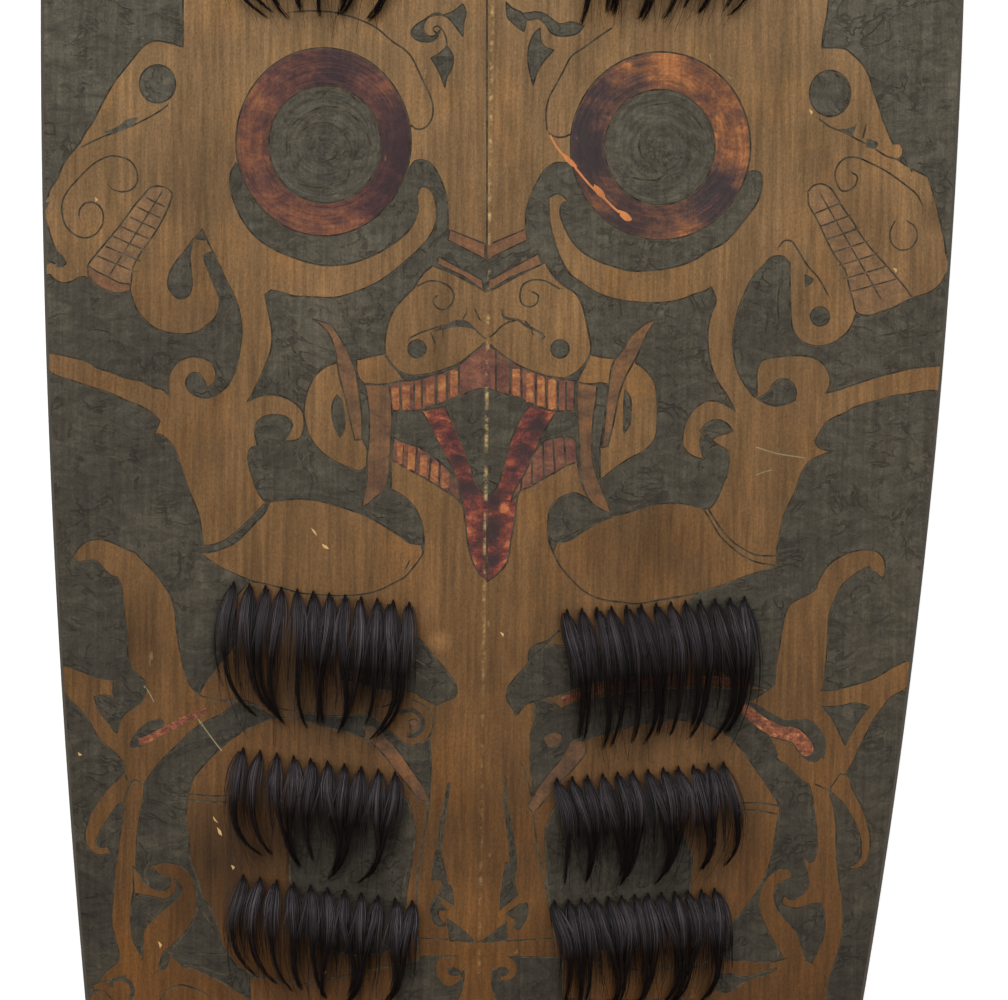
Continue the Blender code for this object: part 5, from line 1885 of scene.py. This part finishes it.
RING_LEFT_SPOTS = (
    (400, 125, 45, -0.16), (405, 165, 40, -0.20), (335, 70, 45, -0.14), (385, 205, 35, -0.12),
    (285, 90, 24, -0.08), (250, 150, 34, 0.10), (262, 100, 26, 0.08), (266, 205, 34, 0.08),
    (300, 225, 34, 0.08), (350, 232, 34, 0.10), (385, 85, 18, 0.12),
)
# The right ring's brighter spots are partly a painted highlight on its glossy glaze
RING_RIGHT_SPOTS_AND_HIGHLIGHTS = (
    (583, 135, 36, -0.24), (592, 172, 30, -0.20), (605, 95, 30, -0.12), (722, 190, 34, -0.22),
    (700, 216, 30, -0.14), (625, 222, 34, -0.12), (668, 64, 34, 0.20), (715, 90, 36, 0.14),
    (738, 140, 40, 0.16), (620, 72, 20, 0.12), (692, 228, 20, 0.18), (745, 185, 16, 0.14),
)
TONGUE_SPOTS = (
    (490, 530, 18, -0.24), (492, 560, 12, -0.20), (494, 500, 14, -0.30), (539, 424, 16, -0.24),
    (524, 452, 16, -0.20), (513, 478, 12, -0.14), (450, 440, 12, -0.16), (459, 462, 14, -0.24),
    (468, 488, 14, -0.22), (436, 425, 10, -0.08), (467, 530, 7, 0.26), (473, 562, 8, 0.22),
    (426, 415, 9, 0.20), (437, 440, 7, 0.16), (550, 418, 8, 0.18), (512, 462, 7, 0.10),
    (504, 508, 7, 0.42), (508, 545, 6, 0.20),
)


# Each glaze: the scale and shift of its mottle, its colours from dark to bright, and its spots and centre
GLAZES = {
    "ring_left": (
        130, 1.0, (
            (0.026, 0.011, 0.013), (0.044, 0.017, 0.016), (0.078, 0.029, 0.019), (0.128, 0.045, 0.022),
            (0.185, 0.068, 0.027),
        ), RING_LEFT_SPOTS, EYE_RINGS["left"][:2],
    ),
    "ring_right": (
        110, 2.0, (
            (0.024, 0.015, 0.016), (0.045, 0.022, 0.019), (0.088, 0.038, 0.023), (0.150, 0.056, 0.022),
            (0.290, 0.108, 0.034),
        ), RING_RIGHT_SPOTS_AND_HIGHLIGHTS, EYE_RINGS["right"][:2],
    ),
    "fang": (
        150, 3.0, (
            (0.096, 0.054, 0.026), (0.122, 0.066, 0.030), (0.145, 0.080, 0.034), (0.170, 0.092, 0.038),
            (0.200, 0.100, 0.040),
        ),
    ),
    "tooth": (
        150, 4.0, (
            (0.055, 0.022, 0.018), (0.088, 0.034, 0.024), (0.125, 0.048, 0.030), (0.165, 0.064, 0.034),
            (0.220, 0.090, 0.044),
        ),
    ),
    "tooth_bright": (
        210, 9.0, (
            (0.120, 0.040, 0.020), (0.190, 0.062, 0.026), (0.260, 0.098, 0.032), (0.340, 0.140, 0.042),
            (0.440, 0.200, 0.064),
        ),
    ),
    "tusk": (
        70, 5.0, (
            (0.055, 0.026, 0.014), (0.085, 0.042, 0.020), (0.115, 0.060, 0.026), (0.155, 0.070, 0.026),
            (0.215, 0.080, 0.026),
        ),
    ),
    "chevron": (
        130, 6.0, (
            (0.080, 0.044, 0.022), (0.102, 0.050, 0.024), (0.124, 0.058, 0.026), (0.150, 0.066, 0.028),
            (0.180, 0.080, 0.032),
        ),
    ),
    "tongue": (
        210, 7.0, (
            (0.030, 0.014, 0.013), (0.060, 0.018, 0.016), (0.118, 0.026, 0.018), (0.200, 0.050, 0.024),
            (0.360, 0.115, 0.040),
        ), TONGUE_SPOTS,
    ),
    "snake": (
        420, 8.0, (
            (0.060, 0.022, 0.014), (0.110, 0.036, 0.020), (0.190, 0.058, 0.028), (0.320, 0.110, 0.044),
            (0.520, 0.240, 0.100),
        ),
    ),
    "snake_bright": (
        430, 10.0, (
            (0.055, 0.022, 0.016), (0.130, 0.042, 0.022), (0.220, 0.072, 0.030), (0.360, 0.130, 0.050),
            (0.600, 0.290, 0.130),
        ),
    ),
}


def board_materials():
    made = {name: red_material(f"{name}_paint", *glaze) for name, glaze in GLAZES.items()}
    made["dark"] = dark_material()
    made["ochre"] = ochre_material()
    for side in ("left", "right"):
        made[f"pupil_{side}"] = pupil_material(f"pupil_{side}_paint", *PUPILS[side][:2])
    made["line"] = line_material()
    made["split"] = plain_material("fresh_split", (0.36, 0.125, 0.038), 0.6, 0.2, 190)
    made["bare"] = plain_material("bare_chip", (0.40, 0.25, 0.10), 0.7, 0.15)
    made["scratch"] = plain_material("dry_scratch", (0.17, 0.135, 0.075), 0.7, 0.1)
    made["back"] = back_material()
    made["edge"] = edge_material()
    return made


# Everything together


def main():
    make_camera()
    make_lights()
    make_floor()
    build_board(board_materials())
    hair = hair_material()
    for seed, (name, count, first, last) in enumerate(HAIR_ROWS):
        build_hair(name, count, first, last, HAIR_SEED + seed, hair)
    rattan = rattan_material()
    for end, (y, stitches) in BANDS.items():
        for side in ("front", "back"):
            cane = build_cane(f"{end}_{side}_split_cane", y, side == "front", rattan)
            finish_piece(cane, f"{end}_band_{side}_cane")
        finish_piece(build_lacing(f"{end}_cane_lacing", y, stitches, rattan), f"{end}_band_lacing")


main()
